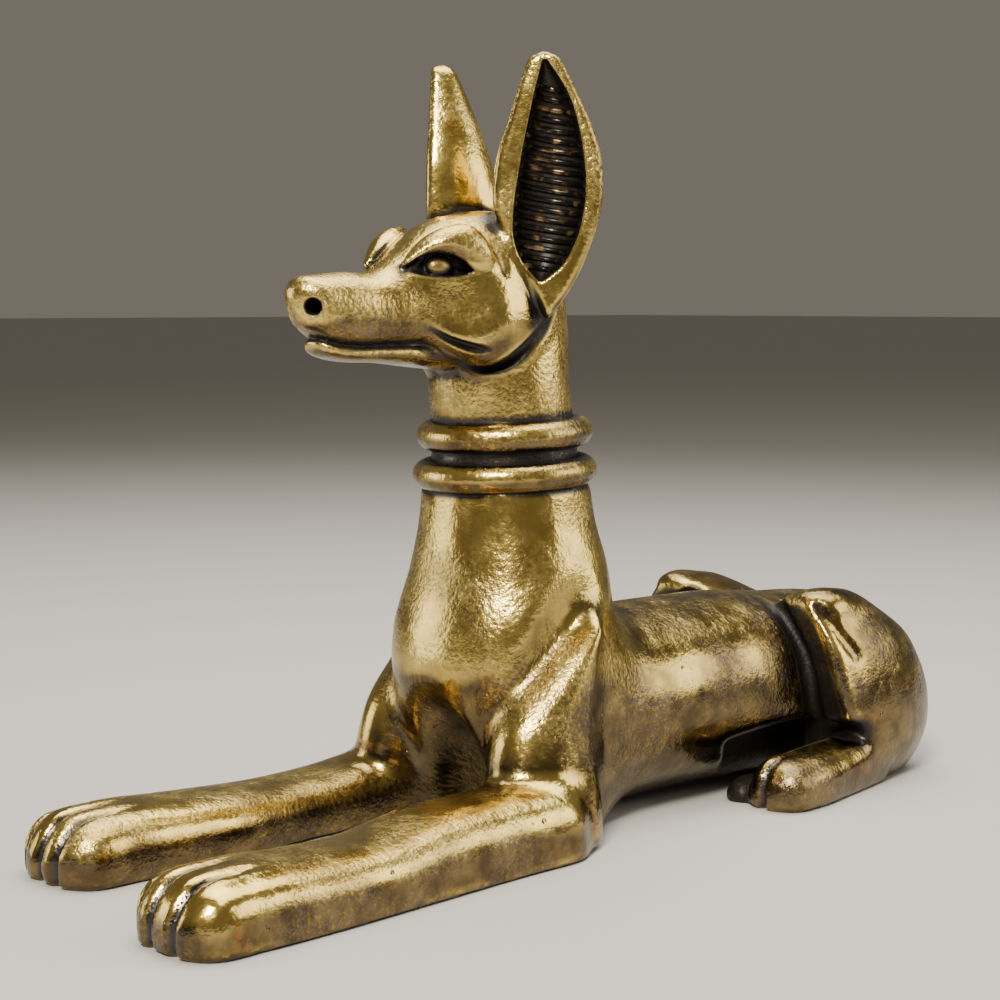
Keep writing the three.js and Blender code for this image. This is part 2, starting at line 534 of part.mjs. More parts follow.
// Skin of a form: one point in each lattice cube that the surface crosses, joined by quads
function skin(form, low, high, step) {
  const [nx, ny, nz] = low.map((v, n) => Math.ceil((high[n] - v) / step) + 1);
  const stride = [1, nx, nx * ny];
  const field = new Float32Array(nx * ny * nz);
  // A block of samples whose middle is far from the surface takes the value of its middle
  const block = 4;
  const reach = block * step;
  for (let k0 = 0; k0 < nz; k0 += block) {
    for (let j0 = 0; j0 < ny; j0 += block) {
      for (let i0 = 0; i0 < nx; i0 += block) {
        const middle = [i0, j0, k0].map((start, n) => low[n] + (start + (block - 1) / 2) * step);
        const centre = form(...middle);
        for (let k = k0; k < Math.min(k0 + block, nz); k += 1) {
          for (let j = j0; j < Math.min(j0 + block, ny); j += 1) {
            for (let i = i0; i < Math.min(i0 + block, nx); i += 1) {
              field[i + j * nx + k * nx * ny] = Math.abs(centre) > reach ? centre
                : form(low[0] + i * step, low[1] + j * step, low[2] + k * step);
            }
          }
        }
      }
    }
  }
  // Where inside and outside touch only across the diagonal of a square, one corner is filled
  const squares = [[0, 1], [0, 2], [1, 2]].map(([u, v]) => [stride[u], stride[v]]);
  for (let filled = true; filled;) {
    filled = false;
    for (let n = 0; n < field.length - stride[1] - stride[2]; n += 1) {
      for (const [u, v] of squares) {
        const [a, b, c, d] = [field[n] < 0, field[n + u] < 0, field[n + v] < 0, field[n + u + v] < 0];
        if (a === d && b === c && a !== b) {
          field[a ? n + u : n] = -0.05 * step;
          filled = true;
        }
      }
    }
  }
  const corners = [0, 1, 2, 3, 4, 5, 6, 7];
  const bits = (c) => [c & 1, (c >> 1) & 1, c >> 2];
  const edges = corners.flatMap((c) => [1, 2, 4].filter((bit) => !(c & bit)).map((bit) => [c, c | bit]));
  const offset = corners.map((c) => bits(c).reduce((sum, bit, n) => sum + bit * stride[n], 0));
  const points = [];
  const cell = new Int32Array(field.length).fill(-1);
  for (let k = 0; k < nz - 1; k += 1) {
    for (let j = 0; j < ny - 1; j += 1) {
      for (let i = 0; i < nx - 1; i += 1) {
        const n = i + j * nx + k * nx * ny;
        const sum = [0, 0, 0];
        let crossed = 0;
        for (const [from, to] of edges) {
          const [a, b] = [field[n + offset[from]], field[n + offset[to]]];
          if (a < 0 === b < 0) continue;
          const t = a / (a - b);
          const [p, q] = [bits(from), bits(to)];
          for (let c = 0; c < 3; c += 1) sum[c] += p[c] + t * (q[c] - p[c]);
          crossed += 1;
        }
        if (!crossed) continue;
        cell[n] = points.length;
        points.push([i, j, k].map((v, c) => low[c] + (v + sum[c] / crossed) * step));
      }
    }
  }
  const faces = [];
  const apart = (a, b) => Math.hypot(...points[a].map((v, c) => v - points[b][c]));
  for (let n = stride[1] + stride[2]; n < field.length - stride[2]; n += 1) {
    for (let axis = 0; axis < 3; axis += 1) {
      const inside = field[n] < 0;
      if (inside === field[n + stride[axis]] < 0) continue;
      const [u, v] = [stride[(axis + 1) % 3], stride[(axis + 2) % 3]];
      const ring = [n, n - u, n - u - v, n - v].map((m) => cell[m]);
      if (!inside) ring.reverse();
      const [a, b, c, d] = ring;
      if (apart(a, c) < apart(b, d)) faces.push([a, b, c], [a, c, d]);
      else faces.push([b, c, d], [b, d, a]);
    }
  }
  return { points, faces };
}

// A point moved onto the surface of a form, sideways only where it must keep its height
function settle(form, point, level) {
  const step = 0.02;
  const most = 0.4 * SAMPLE;
  let p = point;
  for (let round = 0; round < 3; round += 1) {
    const slope = [0, 1, 2].map((c) => {
      if (level && c === 2) return 0;
      const [a, b] = [-step, step].map((shift) => form(...p.map((v, m) => (m === c ? v + shift : v))));
      return (b - a) / (2 * step);
    });
    const steep = slope[0] ** 2 + slope[1] ** 2 + slope[2] ** 2;
    if (steep < 0.1) break;
    const move = clamp(form(...p) / steep, -most, most);
    p = p.map((v, c) => v - slope[c] * move);
  }
  return Math.hypot(...p.map((v, c) => v - point[c])) < 2 * most ? p : point;
}

// Fewer, larger facets where the surface is nearly flat: the edge whose two ends can become one
// point nearest to the planes around them goes first. Points on the resting plane stay on it.
function thin({ points, faces }, target) {
  const onPlane = points.map((p) => p[2] === 0);
  const around = points.map(() => new Set());
  faces.forEach((f, n) => f.forEach((v) => around[v].add(n)));
  const cross = (p, q, r) => {
    const [ux, uy, uz] = [q[0] - p[0], q[1] - p[1], q[2] - p[2]];
    const [wx, wy, wz] = [r[0] - p[0], r[1] - p[1], r[2] - p[2]];
    return [uy * wz - uz * wy, uz * wx - ux * wz, ux * wy - uy * wx];
  };
  const planes = points.map(() => new Float64Array(10));
  for (const f of faces) {
    const [p, q, r] = f.map((v) => points[v]);
    const n = cross(p, q, r);
    const size = Math.hypot(...n);
    if (size < TINY) continue;
    const [a, b, c] = n.map((v) => v / size);
    const d = -(a * p[0] + b * p[1] + c * p[2]);
    const terms = [a * a, a * b, a * c, a * d, b * b, b * c, b * d, c * c, c * d, d * d];
    f.forEach((v) => terms.forEach((term, m) => { planes[v][m] += term * size; }));
  }
  const cost = (q, [x, y, z]) => q[0] * x * x + 2 * q[1] * x * y + 2 * q[2] * x * z + 2 * q[3] * x
    + q[4] * y * y + 2 * q[5] * y * z + 2 * q[6] * y + q[7] * z * z + 2 * q[8] * z + q[9];
  let shortFirst = true;
  const best = (u, v) => {
    const q = planes[u].map((value, n) => value + planes[v][n]);
    const tries = [];
    if (onPlane[u] === onPlane[v]) {
      tries.push(points[u], points[v], points[u].map((value, n) => (value + points[v][n]) / 2));
      const [a, b, c, e, f, h] = [q[0], q[1], q[2], q[4], q[5], q[7]];
      const det = a * (e * h - f * f) - b * (b * h - f * c) + c * (b * f - e * c);
      if (!onPlane[u] && Math.abs(det) > 1e-3 * (a + e + h) ** 3 / 27) {
        const [r0, r1, r2] = [-q[3], -q[6], -q[8]];
        tries.push([
          (r0 * (e * h - f * f) - b * (r1 * h - f * r2) + c * (r1 * f - e * r2)) / det,
          (a * (r1 * h - f * r2) - r0 * (b * h - f * c) + c * (b * r2 - r1 * c)) / det,
          (a * (e * r2 - r1 * f) - b * (b * r2 - r1 * c) + r0 * (b * f - e * c)) / det,
        ]);
      }
    } else {
      tries.push(onPlane[u] ? points[u] : points[v]);
    }
    const ranked = tries.map((p) => ({ p, worth: cost(q, p) })).sort((m, n) => m.worth - n.worth);
    const length = Math.hypot(...points[u].map((value, n) => value - points[v][n]));
    return { u, v, p: ranked[0].p, worth: shortFirst ? length : ranked[0].worth + 1e-5 * length };
  };
  // Heap of edges, the cheapest on top
  const heap = [];
  const lift = (item) => {
    let n = heap.push(item) - 1;
    while (n > 0 && heap[(n - 1) >> 1].worth > item.worth) {
      heap[n] = heap[(n - 1) >> 1];
      n = (n - 1) >> 1;
    }
    heap[n] = item;
  };
  const take = () => {
    const top = heap[0];
    const item = heap.pop();
    if (!heap.length) return top;
    let n = 0;
    for (;;) {
      let child = 2 * n + 1;
      if (child >= heap.length) break;
      if (child + 1 < heap.length && heap[child + 1].worth < heap[child].worth) child += 1;
      if (heap[child].worth >= item.worth) break;
      heap[n] = heap[child];
      n = child;
    }
    heap[n] = item;
    return top;
  };
  const age = new Int32Array(points.length);
  const enter = (u, v) => lift(Object.assign(best(u, v), { stamp: age[u] + age[v] }));
  const beside = (v) => {
    const set = new Set();
    around[v].forEach((n) => faces[n].forEach((w) => set.add(w)));
    set.delete(v);
    return set;
  };
  // No face may turn over or become a sliver when one of its points moves
  const dot = (p, q) => p[0] * q[0] + p[1] * q[1] + p[2] * q[2];
  const fullness = (ring, normal) => {
    const edges = ring.map((w, m) => Math.hypot(...w.map((value, c) => value - ring[(m + 1) % 3][c])));
    return Math.hypot(...normal) / Math.max(...edges) ** 2;
  };
  const sliver = 0.12;
  const keepsShape = (v, other, p, least) => {
    const ringed = [...around[v]].map((n) => faces[n].map((w) => points[w]));
    const normals = ringed.map((ring) => cross(...ring));
    const facing = [0, 1, 2].map((c) => normals.reduce((sum, n) => sum + n[c], 0));
    return [...around[v]].every((n, m) => {
      if (faces[n].includes(other)) return true;
      const moved = faces[n].map((w) => (w === v ? p : points[w]));
      const after = cross(...moved);
      const size = Math.hypot(...after);
      if (fullness(moved, after) < least || dot(after, facing) < 0.1 * size * Math.hypot(...facing)) {
        return false;
      }
      return fullness(ringed[m], normals[m]) < sliver
        || dot(after, normals[m]) > 0.3 * size * Math.hypot(...normals[m]);
    });
  };
  let left = faces.length;
  const join = ({ u, v, p, stamp }, least) => {
    if (!around[u] || !around[v] || stamp !== age[u] + age[v]) return;
    const [nearU, nearV] = [beside(u), beside(v)];
    if (!nearU.has(v) || [...nearU].filter((w) => nearV.has(w)).length !== 2) return;
    if (!keepsShape(u, v, p, least) || !keepsShape(v, u, p, least)) return;
    points[u] = [...p];
    onPlane[u] = onPlane[u] || onPlane[v];
    planes[v].forEach((value, n) => { planes[u][n] += value; });
    for (const n of around[v]) {
      if (faces[n].includes(u)) {
        faces[n].forEach((w) => { if (w !== v) around[w].delete(n); });
        faces[n] = null;
        left -= 1;
      } else {
        faces[n] = faces[n].map((w) => (w === v ? u : w));
        around[u].add(n);
      }
    }
    around[v] = null;
    age[u] += age[v] + 1;
    beside(u).forEach((w) => enter(Math.min(u, w), Math.max(u, w)));
  };
  const sweep = (enough, least) => {
    heap.length = 0;
    for (const f of faces.filter(Boolean)) {
      f.forEach((u, n) => { if (u < f[(n + 1) % 3]) enter(u, f[(n + 1) % 3]); });
    }
    while (heap.length && !enough(heap[0])) join(take(), least);
  };
  // Short edges go first, whatever they cost, so that no slivers are left
  sweep((edge) => edge.worth > 0.35 * SAMPLE, 0);
  shortFirst = false;
  for (const least of [sliver, 0.08, 0.04]) sweep(() => left <= target, least);
  return { points, faces: faces.filter(Boolean) };
}

const wasm = await Module();
wasm.setup();
function toManifold(points, faces) {
  const mesh = new wasm.Mesh({ numProp: 3, vertProperties: new Float32Array(points.flat()),
    triVerts: new Uint32Array(faces.flat()) });
  mesh.merge();
  return new wasm.Manifold(mesh);
}

// Room that the samples must cover, with a margin round the animal
const margin = 3 * SAMPLE;
const halfRoom = Math.max(LEG_STANCE + LEG_WIDTH, BODY_WIDTH * 0.6, earX + EAR_WIDTH) + margin;
const room = {
  low: [-halfRoom, -LEG_REACH - margin - 1, -Math.max(LEG_HEIGHT, FOOT_HEIGHT) - margin],
  high: [halfRoom, BODY_LENGTH * 1.04 + TAIL_THICKNESS + margin, earFoot + EAR_HEIGHT + margin + 0.5],
};
room.low[1] = Math.min(room.low[1], headRuler.y0 - margin);
const whole = skin(jackal, room.low, room.high, SAMPLE);

// Flat underside: everything below the resting plane is cut away
const above = new THREE.BoxGeometry(4 * halfRoom, 400, room.high[2] + 10);
above.translate(0, 0, (room.high[2] + 10) / 2);
const boxPoints = [];
for (let n = 0; n < above.attributes.position.count; n += 1) {
  boxPoints.push(new THREE.Vector3().fromBufferAttribute(above.attributes.position, n).toArray());
}
const boxFaces = [];
for (let n = 0; n < above.index.count; n += 3) boxFaces.push([...above.index.array.slice(n, n + 3)]);
const cut = toManifold(whole.points, whole.faces).intersect(toManifold(boxPoints, boxFaces));
const rough = cut.getMesh();
const roughPoints = [];
for (let n = 0; n < rough.vertProperties.length; n += rough.numProp) {
  const [x, y, z] = rough.vertProperties.slice(n, n + 3);
  roughPoints.push([x, y, Math.abs(z) < 1e-4 ? 0 : z]);
}
const roughFaces = [];
for (let n = 0; n < rough.triVerts.length; n += 3) {
  roughFaces.push([...rough.triVerts.slice(n, n + 3)]);
}
const onRim = roughPoints.map(() => false);
roughFaces.filter((f) => f.some((v) => roughPoints[v][2] > 0))
  .forEach((f) => f.forEach((v) => { onRim[v] = true; }));
const settled = roughPoints.map((p, v) => (onRim[v] ? settle(jackal, p, p[2] === 0) : p)
  .map((value, c) => (c === 2 ? Math.max(value, 0) : value)));
const cast = thin({ points: settled, faces: roughFaces }, FACETS);

const geometry = new THREE.BufferGeometry();
const used = new Map();
const corners = [];
const triangles = cast.faces.map((f) => f.map((v) => {
  if (!used.has(v)) {
    used.set(v, corners.length / 3);
    corners.push(...cast.points[v]);
  }
  return used.get(v);
}));
geometry.setAttribute('position', new THREE.Float32BufferAttribute(corners, 3));
geometry.setIndex(triangles.flat());

// Reference point: the middle of the underside of the figure's box
geometry.computeBoundingBox();
const middle = geometry.boundingBox.getCenter(new THREE.Vector3());
geometry.translate(-middle.x, -middle.y, 0);
geometry.computeVertexNormals();

const brass = new THREE.MeshStandardMaterial({ color: 0xa98a4c, roughness: 0.34, metalness: 1 });
const figure = new THREE.Mesh(geometry, brass);
figure.name = 'jackal_figure';
const group = new THREE.Group();
group.name = 'jackal';
group.add(figure);

export default group;
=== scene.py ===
import math

import bpy
import numpy as np
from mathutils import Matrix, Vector


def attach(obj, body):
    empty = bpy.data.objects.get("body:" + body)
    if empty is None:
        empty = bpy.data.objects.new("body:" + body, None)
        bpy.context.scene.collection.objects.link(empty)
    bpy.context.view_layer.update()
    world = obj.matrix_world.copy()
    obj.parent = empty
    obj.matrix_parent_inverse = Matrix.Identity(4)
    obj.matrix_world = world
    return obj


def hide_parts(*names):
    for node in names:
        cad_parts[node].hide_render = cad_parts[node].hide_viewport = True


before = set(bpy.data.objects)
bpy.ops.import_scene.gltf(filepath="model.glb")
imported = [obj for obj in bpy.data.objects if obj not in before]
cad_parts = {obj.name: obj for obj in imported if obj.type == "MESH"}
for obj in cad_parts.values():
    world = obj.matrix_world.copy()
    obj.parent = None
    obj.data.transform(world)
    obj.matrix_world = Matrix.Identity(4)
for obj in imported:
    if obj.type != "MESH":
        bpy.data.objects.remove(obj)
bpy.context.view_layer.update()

# The body of a lying jackal, cast in solid brass in one pour with its head and collar and then
# hand finished. Torso, haunches, forelegs and tail are one skin, worked out in millimetres.
# y = 0 is the axis of the neck, and the jackal looks along -Y.
BODY_LENGTH = 29.2      # neck axis to the back of the rump
BODY_WIDTH = 16.0       # across both haunches
BACK_HEIGHT = 10.3      # resting plane to the top of the back
CHEST_HEIGHT = 17.3     # resting plane to the foot of the neck
CHEST_WIDTH = 11.0
CHEST_DEPTH = 10.2
ARCH_WIDTH = 6.7        # hollow under the chest, between the upper arms
ARCH_HEIGHT = 7.1
LEG_REACH = 25.15       # neck axis to the tip of the left forepaw
LEG_STANCE = 6.0        # middle plane to the middle of a foreleg
LEG_WIDTH = 5.4
LEG_HEIGHT = 3.45
RIGHT_PAW_BACK = 1.75   # how far the right forepaw lies behind the left one
FOOT_LENGTH = 10.5      # hind foot, toes to hock
FOOT_HEIGHT = 2.9
TAIL_THICKNESS = 2.1
NECK_WIDTH = 6.9
NECK_LENGTH = 5.4       # foot of the neck to the underside of the jaw
TINY = 1e-6             # keeps a division off zero
AWAY = 3.0              # farther than this from its box, a form is only as far as its box


def soft_min(a, b, blend):
    """Joins two forms, their seam rounded over a blend in millimetres."""
    share = np.maximum(blend - np.abs(a - b), 0) / blend
    return np.minimum(a, b) - share * share * blend * 0.25


def soft_max(a, b, blend):
    """What two forms have in common; with -b, form a with form b cut out of it."""
    return -soft_min(-a, -b, blend)


def length(*parts):
    return np.sqrt(sum(p * p for p in parts))


class Ruler:
    """Turns shares of a part's own width, length and height into millimetres."""

    def __init__(self, wide, long, high, y0=0.0, z0=0.0):
        self.wide, self.long, self.high, self.y0, self.z0 = wide, long, high, y0, z0

    def place(self, x, y, z):
        return x * self.wide, self.y0 + y * self.long, self.z0 + z * self.high


def curve(places, values, fineness=400):
    """A smooth curve through values given at rising places."""
    places, values = np.asarray(places, float), np.asarray(values, float)
    gaps = np.diff(places)
    rises = np.diff(values) / gaps
    slopes = np.empty(len(places))
    slopes[0], slopes[-1] = rises[0], rises[-1]
    slopes[1:-1] = (rises[:-1] * gaps[1:] + rises[1:] * gaps[:-1]) / (gaps[:-1] + gaps[1:])
    at = np.linspace(places[0], places[-1], fineness)
    i = np.clip(np.searchsorted(places, at) - 1, 0, len(gaps) - 1)
    u = (at - places[i]) / gaps[i]
    v = 1 - u
    read = (v * v * (1 + 2 * u) * values[i] + u * v * v * gaps[i] * slopes[i]
            + u * u * (1 + 2 * v) * values[i + 1] - u * u * v * gaps[i] * slopes[i + 1])
    return lambda where: np.interp(where, at, read)


def oval(u, v, half_u, half_v, power):
    """Distance to an oval section; power 2 is an ellipse, more is squarer."""
    a, b = np.abs(u) / half_u, np.abs(v) / half_v
    q = np.maximum((a ** power + b ** power) ** (1 / power), TINY)
    slope = length((a / q) ** (power - 1) / half_u, (b / q) ** (power - 1) / half_v)
    return (q - 1) / np.maximum(slope, TINY)


def boxed(low, high, form):
    """A form that is worked out only near the box that holds it."""
    def near(x, y, z):
        d = np.maximum.reduce([low[0] - x, x - high[0], low[1] - y, y - high[1],
                               low[2] - z, z - high[2]])
        close = d <= AWAY
        if close.any():
            d[close] = form(x[close], y[close], z[close])
        return d
    return near


def loft(stations, order, ends, power):
    """A body through oval stations (place, u centre, v centre, half u, half v), in millimetres."""
    rows = np.asarray(stations, float)
    middle_u, middle_v, half_u, half_v = (curve(rows[:, 0], rows[:, n]) for n in (1, 2, 3, 4))
    first, last = rows[0, 0], rows[-1, 0]
    low = np.array([first, (rows[:, 1] - rows[:, 3]).min(), (rows[:, 2] - rows[:, 4]).min()])
    high = np.array([last, (rows[:, 1] + rows[:, 3]).max(), (rows[:, 2] + rows[:, 4]).max()])

    def form(*p):
        t, u, v = (p[order.index(n)] for n in (0, 1, 2))
        side = oval(u - middle_u(t), v - middle_v(t), half_u(t), half_v(t), power)
        return soft_max(side, np.maximum(first - t, t - last), ends)
    return boxed(low[list(order)], high[list(order)], form)


def loft_along(r, rows, ends, power):
    """Stations (along, across, up, half width, half height) of a body that runs along y."""
    return loft([(r.y0 + y * r.long, x * r.wide, r.z0 + z * r.high, w * r.wide, h * r.high)
                 for y, x, z, w, h in rows], (1, 0, 2), ends, power)


def loft_up(r, rows, ends, power):
    """Stations (up, across, along, half width, half length) of a body that stands up."""
    return loft([(r.z0 + z * r.high, x * r.wide, r.y0 + y * r.long, w * r.wide, h * r.long)
                 for z, x, y, w, h in rows], (1, 2, 0), ends, power)


def cord(r, rows, thickness=1.0, links=4):
    """A cord of tapering links on a smooth line through (across, along, up, radius)."""
    given = np.array([(*r.place(*row[:3]), row[3] * thickness) for row in rows])
    at = np.arange(len(given))
    fine = np.linspace(0, len(given) - 1, links * (len(given) - 1) + 1)
    knots = np.array([curve(at, given[:, n])(fine) for n in range(4)]).T

    def form(x, y, z):
        nearest = np.full(len(x), np.inf)
        for a, b in zip(knots[:-1], knots[1:]):
            run = b[:3] - a[:3]
            px, py, pz = x - a[0], y - a[1], z - a[2]
            t = np.clip((px * run[0] + py * run[1] + pz * run[2]) / (run @ run), 0, 1)
            off = length(px - t * run[0], py - t * run[1], pz - t * run[2])
            nearest = np.minimum(nearest, off - a[3] - t * (b[3] - a[3]))
        return nearest
    radii = knots[:, 3:]
    return boxed((knots[:, :3] - radii).min(0), (knots[:, :3] + radii).max(0), form)


def ellipsoid(r, centre, half, tip=0.0):
    """An ellipsoid with its centre in shares of a ruler, half sizes in mm, tipped about x."""
    middle = np.array(r.place(*centre))
    cos, sin = math.cos(math.radians(tip)), math.sin(math.radians(tip))
    wide, long, high = half
    tipped = max(long, high) if tip else 0
    reach = np.array([wide, max(long, tipped), max(high, tipped)])

    def form(x, y, z):
        px = x - middle[0]
        py = (y - middle[1]) * cos + (z - middle[2]) * sin
        pz = (z - middle[2]) * cos - (y - middle[1]) * sin
        near = length(px / wide, py / long, pz / high)
        slope = length(px / wide ** 2, py / long ** 2, pz / high ** 2)
        return near * (near - 1) / np.maximum(slope, TINY)
    return boxed(middle - reach, middle + reach, form)


trunk = Ruler(BODY_WIDTH, BODY_LENGTH, BACK_HEIGHT)
chest_ruler = Ruler(CHEST_WIDTH, CHEST_DEPTH, CHEST_HEIGHT)
neck_ruler = Ruler(NECK_WIDTH, NECK_WIDTH, NECK_LENGTH, 0, CHEST_HEIGHT)

torso = loft_along(trunk, [
    (-0.050, 0, 0.490, 0.325, 0.510),
    (0.100, 0, 0.490, 0.334, 0.510),
    (0.220, 0, 0.505, 0.338, 0.483),
    (0.361, 0, 0.508, 0.331, 0.482),
    (0.533, 0, 0.500, 0.325, 0.485),
    (0.704, 0, 0.460, 0.325, 0.470),
    (0.875, 0, 0.425, 0.306, 0.450)], 3.0, 2.1)
rump = ellipsoid(trunk, (0, 0.738, 0.420),
                 (0.345 * BODY_WIDTH, 0.250 * BODY_LENGTH, 0.490 * BACK_HEIGHT))
thigh = loft_up(trunk, [
    (-0.060, 0.215, 0.664, 0.175, 0.202),
    (0.040, 0.222, 0.664, 0.222, 0.230),
    (0.125, 0.229, 0.664, 0.250, 0.242),
    (0.230, 0.233, 0.664, 0.267, 0.256),
    (0.388, 0.234, 0.664, 0.269, 0.260),
    (0.602, 0.238, 0.658, 0.245, 0.240),
    (0.777, 0.250, 0.648, 0.200, 0.198),
    (0.890, 0.268, 0.638, 0.145, 0.140),
    (0.960, 0.290, 0.632, 0.105, 0.095),
    (1.010, 0.305, 0.630, 0.065, 0.062)], 0.7, 2.2)
knee = ellipsoid(trunk, (0.325, 0.618, 0.910), (1.20, 1.50, 1.08))
SHIN_LINE_DEPTH = 0.28  # the chased line down the side of the shin
SHIN_LINE_WIDTH = 0.34
shin_line = cord(trunk, [
    (0.375, 0.575, 0.945, 0),
    (0.415, 0.586, 0.870, 0),
    (0.445, 0.600, 0.790, 0),
    (0.466, 0.620, 0.710, 0)])
# The shin crease is painted black as the shade between flank and shin
shin_crease = cord(trunk, [
    (0.060, 0.572, 1.020, 0.25),
    (0.185, 0.574, 0.935, 0.36),
    (0.250, 0.578, 0.825, 0.42),
    (0.300, 0.584, 0.690, 0.45),
    (0.324, 0.586, 0.544, 0.45),
    (0.320, 0.600, 0.388, 0.42)])


def pressed(d, off, depth, width):
    """A surface with a soft groove pressed into it; off is the distance to the groove's line."""
    return d + depth * np.exp(-(off / width) ** 2)


def shin_front(x, y, z):
    """Distance in front of the bent plane of the shin."""
    knee_x, knee_y, knee_z = trunk.place(0.375, 0.564, 0.903)
    down = np.maximum(knee_z - z, 0)
    return knee_y + 0.05 * down + 0.022 * down * down - 0.08 * (x - knee_x) - y


def haunch(x, y, z):
    """The folded thigh, cut off in front by the plane of the shin, with the knee over it."""
    folded = soft_max(thigh(x, y, z), shin_front(x, y, z), 0.6)
    folded = soft_min(folded, knee(x, y, z), 0.6)
    return pressed(folded, shin_line(x, y, z), SHIN_LINE_DEPTH, SHIN_LINE_WIDTH)


foot_ruler = Ruler(BODY_WIDTH, FOOT_LENGTH, FOOT_HEIGHT, 0.738 * BODY_LENGTH - FOOT_LENGTH)
foot_form = loft_along(foot_ruler, [
    (0.000, 0.465, 0.264, 0.070, 0.430),
    (0.086, 0.465, 0.264, 0.105, 0.600),
    (0.238, 0.460, 0.264, 0.112, 0.660),
    (0.571, 0.425, 0.264, 0.104, 0.690),
    (1.000, 0.380, 0.264, 0.084, 0.780)], 1.0, 2.4)
FOOT_TILT = math.radians(18)    # how far the top of a hind foot slopes outward
TOE_GROOVE = 0.22       # half width of a groove between two toes
GROOVE_DEPTH = 0.36


def hind_foot(x, y, z):
    """Along the flank, its top sloping outward, with a groove between two toes."""
    pivot_x, _, pivot_z = foot_ruler.place(0.4375, 0, 0.377)
    cos, sin = math.cos(FOOT_TILT), math.sin(FOOT_TILT)
    across = pivot_x + (x - pivot_x) * cos - (z - pivot_z) * sin
    up = pivot_z + (z - pivot_z) * cos + (x - pivot_x) * sin
    groove = x - 0.447 * BODY_WIDTH
    fade = np.clip(1.4 - (y - foot_ruler.y0) / (0.24 * FOOT_LENGTH), 0, 1)
    return pressed(foot_form(across, y, up), groove, GROOVE_DEPTH * fade, TOE_GROOVE)


def recess_side(x, y, z):
    """Outline of the dark recess under the flank, over and before the hind foot."""
    back = 0.62 * BODY_LENGTH
    top = BACK_HEIGHT * (0.350 - 0.058 * (np.maximum(back - y, 0) / (0.26 * BODY_LENGTH)) ** 2)
    front = foot_ruler.y0 + 0.6 * (top - z)
    return soft_max(soft_max(z - top, y - 0.635 * BODY_LENGTH, 1.0), front - y, 0.6)


def foot_recess(x, y, z):
    """The recess as it is cut in, closed off in front near the ground."""
    sill = foot_ruler.y0 + 0.8 + 2.6 * (1.2 - z) - y
    return np.maximum.reduce([recess_side(x, y, z), sill, 0.232 * BODY_WIDTH - x])


# The toe web is painted black all over as the shade in the gap between toes and belly
toe_web = ellipsoid(foot_ruler, (0.315, 0.15, 0.10), (1.1, 1.4, 1.0))     # joins toes and belly
tail = cord(trunk, [
    (0.000, 0.909, 0.718, 0.33),
    (0.000, 0.968, 0.505, 0.45),
    (-0.037, 0.976, 0.291, 0.50),
    (-0.130, 0.950, 0.126, 0.50),
    (-0.275, 0.905, 0.068, 0.48),
    (-0.402, 0.825, 0.068, 0.43),
    (-0.468, 0.735, 0.068, 0.29)], TAIL_THICKNESS)
chest = loft_up(chest_ruler, [
    (-0.087, 0, 0.074, 0.440, 0.333),
    (0.173, 0, 0.025, 0.450, 0.392),
    (0.347, 0, -0.025, 0.480, 0.455),
    (0.450, 0, -0.025, 0.510, 0.490),
    (0.560, 0, -0.012, 0.512, 0.492),
    (0.740, 0, 0.025, 0.448, 0.452),
    (0.867, 0, 0.015, 0.391, 0.412),
    (1.000, 0, 0.005, 0.365, 0.388)], 1.0, 2.15)
shoulder_dish = ellipsoid(chest_ruler, (1.22, -0.950, 0.780), (9.6, 9.6, 8.0))
shoulder_band = ellipsoid(chest_ruler, (0.730, -0.165, 0.560), (3.2, 5.6, 2.0), 50)
upper_arm = loft_up(chest_ruler, [
    (0.000, 0.490, -0.205, 0.235, 0.265),
    (0.120, 0.472, -0.205, 0.225, 0.285),
    (0.240, 0.450, -0.198, 0.195, 0.285),
    (0.350, 0.446, -0.170, 0.172, 0.245),
    (0.440, 0.450, -0.100, 0.158, 0.180),
    (0.530, 0.456, -0.020, 0.138, 0.098),
    (0.595, 0.460, 0.052, 0.105, 0.042),
    (0.635, 0.455, 0.085, 0.060, 0.022)], 0.8, 2.0)
arch = ellipsoid(chest_ruler, (0.004, -0.672, 0.127),
                 (0.46 * ARCH_WIDTH, 0.49 * CHEST_DEPTH, ARCH_HEIGHT - 0.127 * CHEST_HEIGHT))
# The deep part of the arch is painted black as the shade under the chest
arch_depth = ellipsoid(chest_ruler, (-0.040, -0.330, 0.050),
                       (0.31 * ARCH_WIDTH, 0.40 * CHEST_DEPTH, 0.245 * CHEST_HEIGHT))


def foreleg(side, tip, lean, forearm_drop, grooves):
    """Flat below, rounded above, slimmer at the wrist, with grooves between the toes."""
    back = (LEG_REACH + tip) / LEG_REACH
    r = Ruler(LEG_WIDTH, LEG_REACH, LEG_HEIGHT, tip)
    low = forearm_drop / LEG_HEIGHT

    def across(share):
        return (LEG_STANCE + lean * share) / LEG_WIDTH
    form = loft_along(r, [
        (0.000, across(1.00), 0.232, 0.410, 0.406),
        (0.048, across(1.00), 0.232, 0.520, 0.594),
        (0.135, across(0.98), 0.232, 0.530, 0.667),
        (0.278, across(0.90), 0.232, 0.515, 0.623),
        (0.417, across(0.70), 0.232, 0.505, 0.609 - low * 0.2),
        (0.565 - back, across(0.40), 0.232, 0.506, 0.739 - low),
        (0.744 - back, across(0.08), 0.232, 0.505, 0.768 - low),
        (0.925 - back, across(0.00), 0.232, 0.481, 0.754)], 1.6, 2.8)

    def leg(x, y, z):
        out = side * x
        d = form(out, y, z)
        fade = np.clip(1.5 - (y - tip) / (0.13 * LEG_REACH), 0, 1)
        for place in grooves:
            off = out - LEG_STANCE - lean - place * LEG_WIDTH
            d = pressed(d, off, GROOVE_DEPTH * fade, TOE_GROOVE)
        return d
    return leg


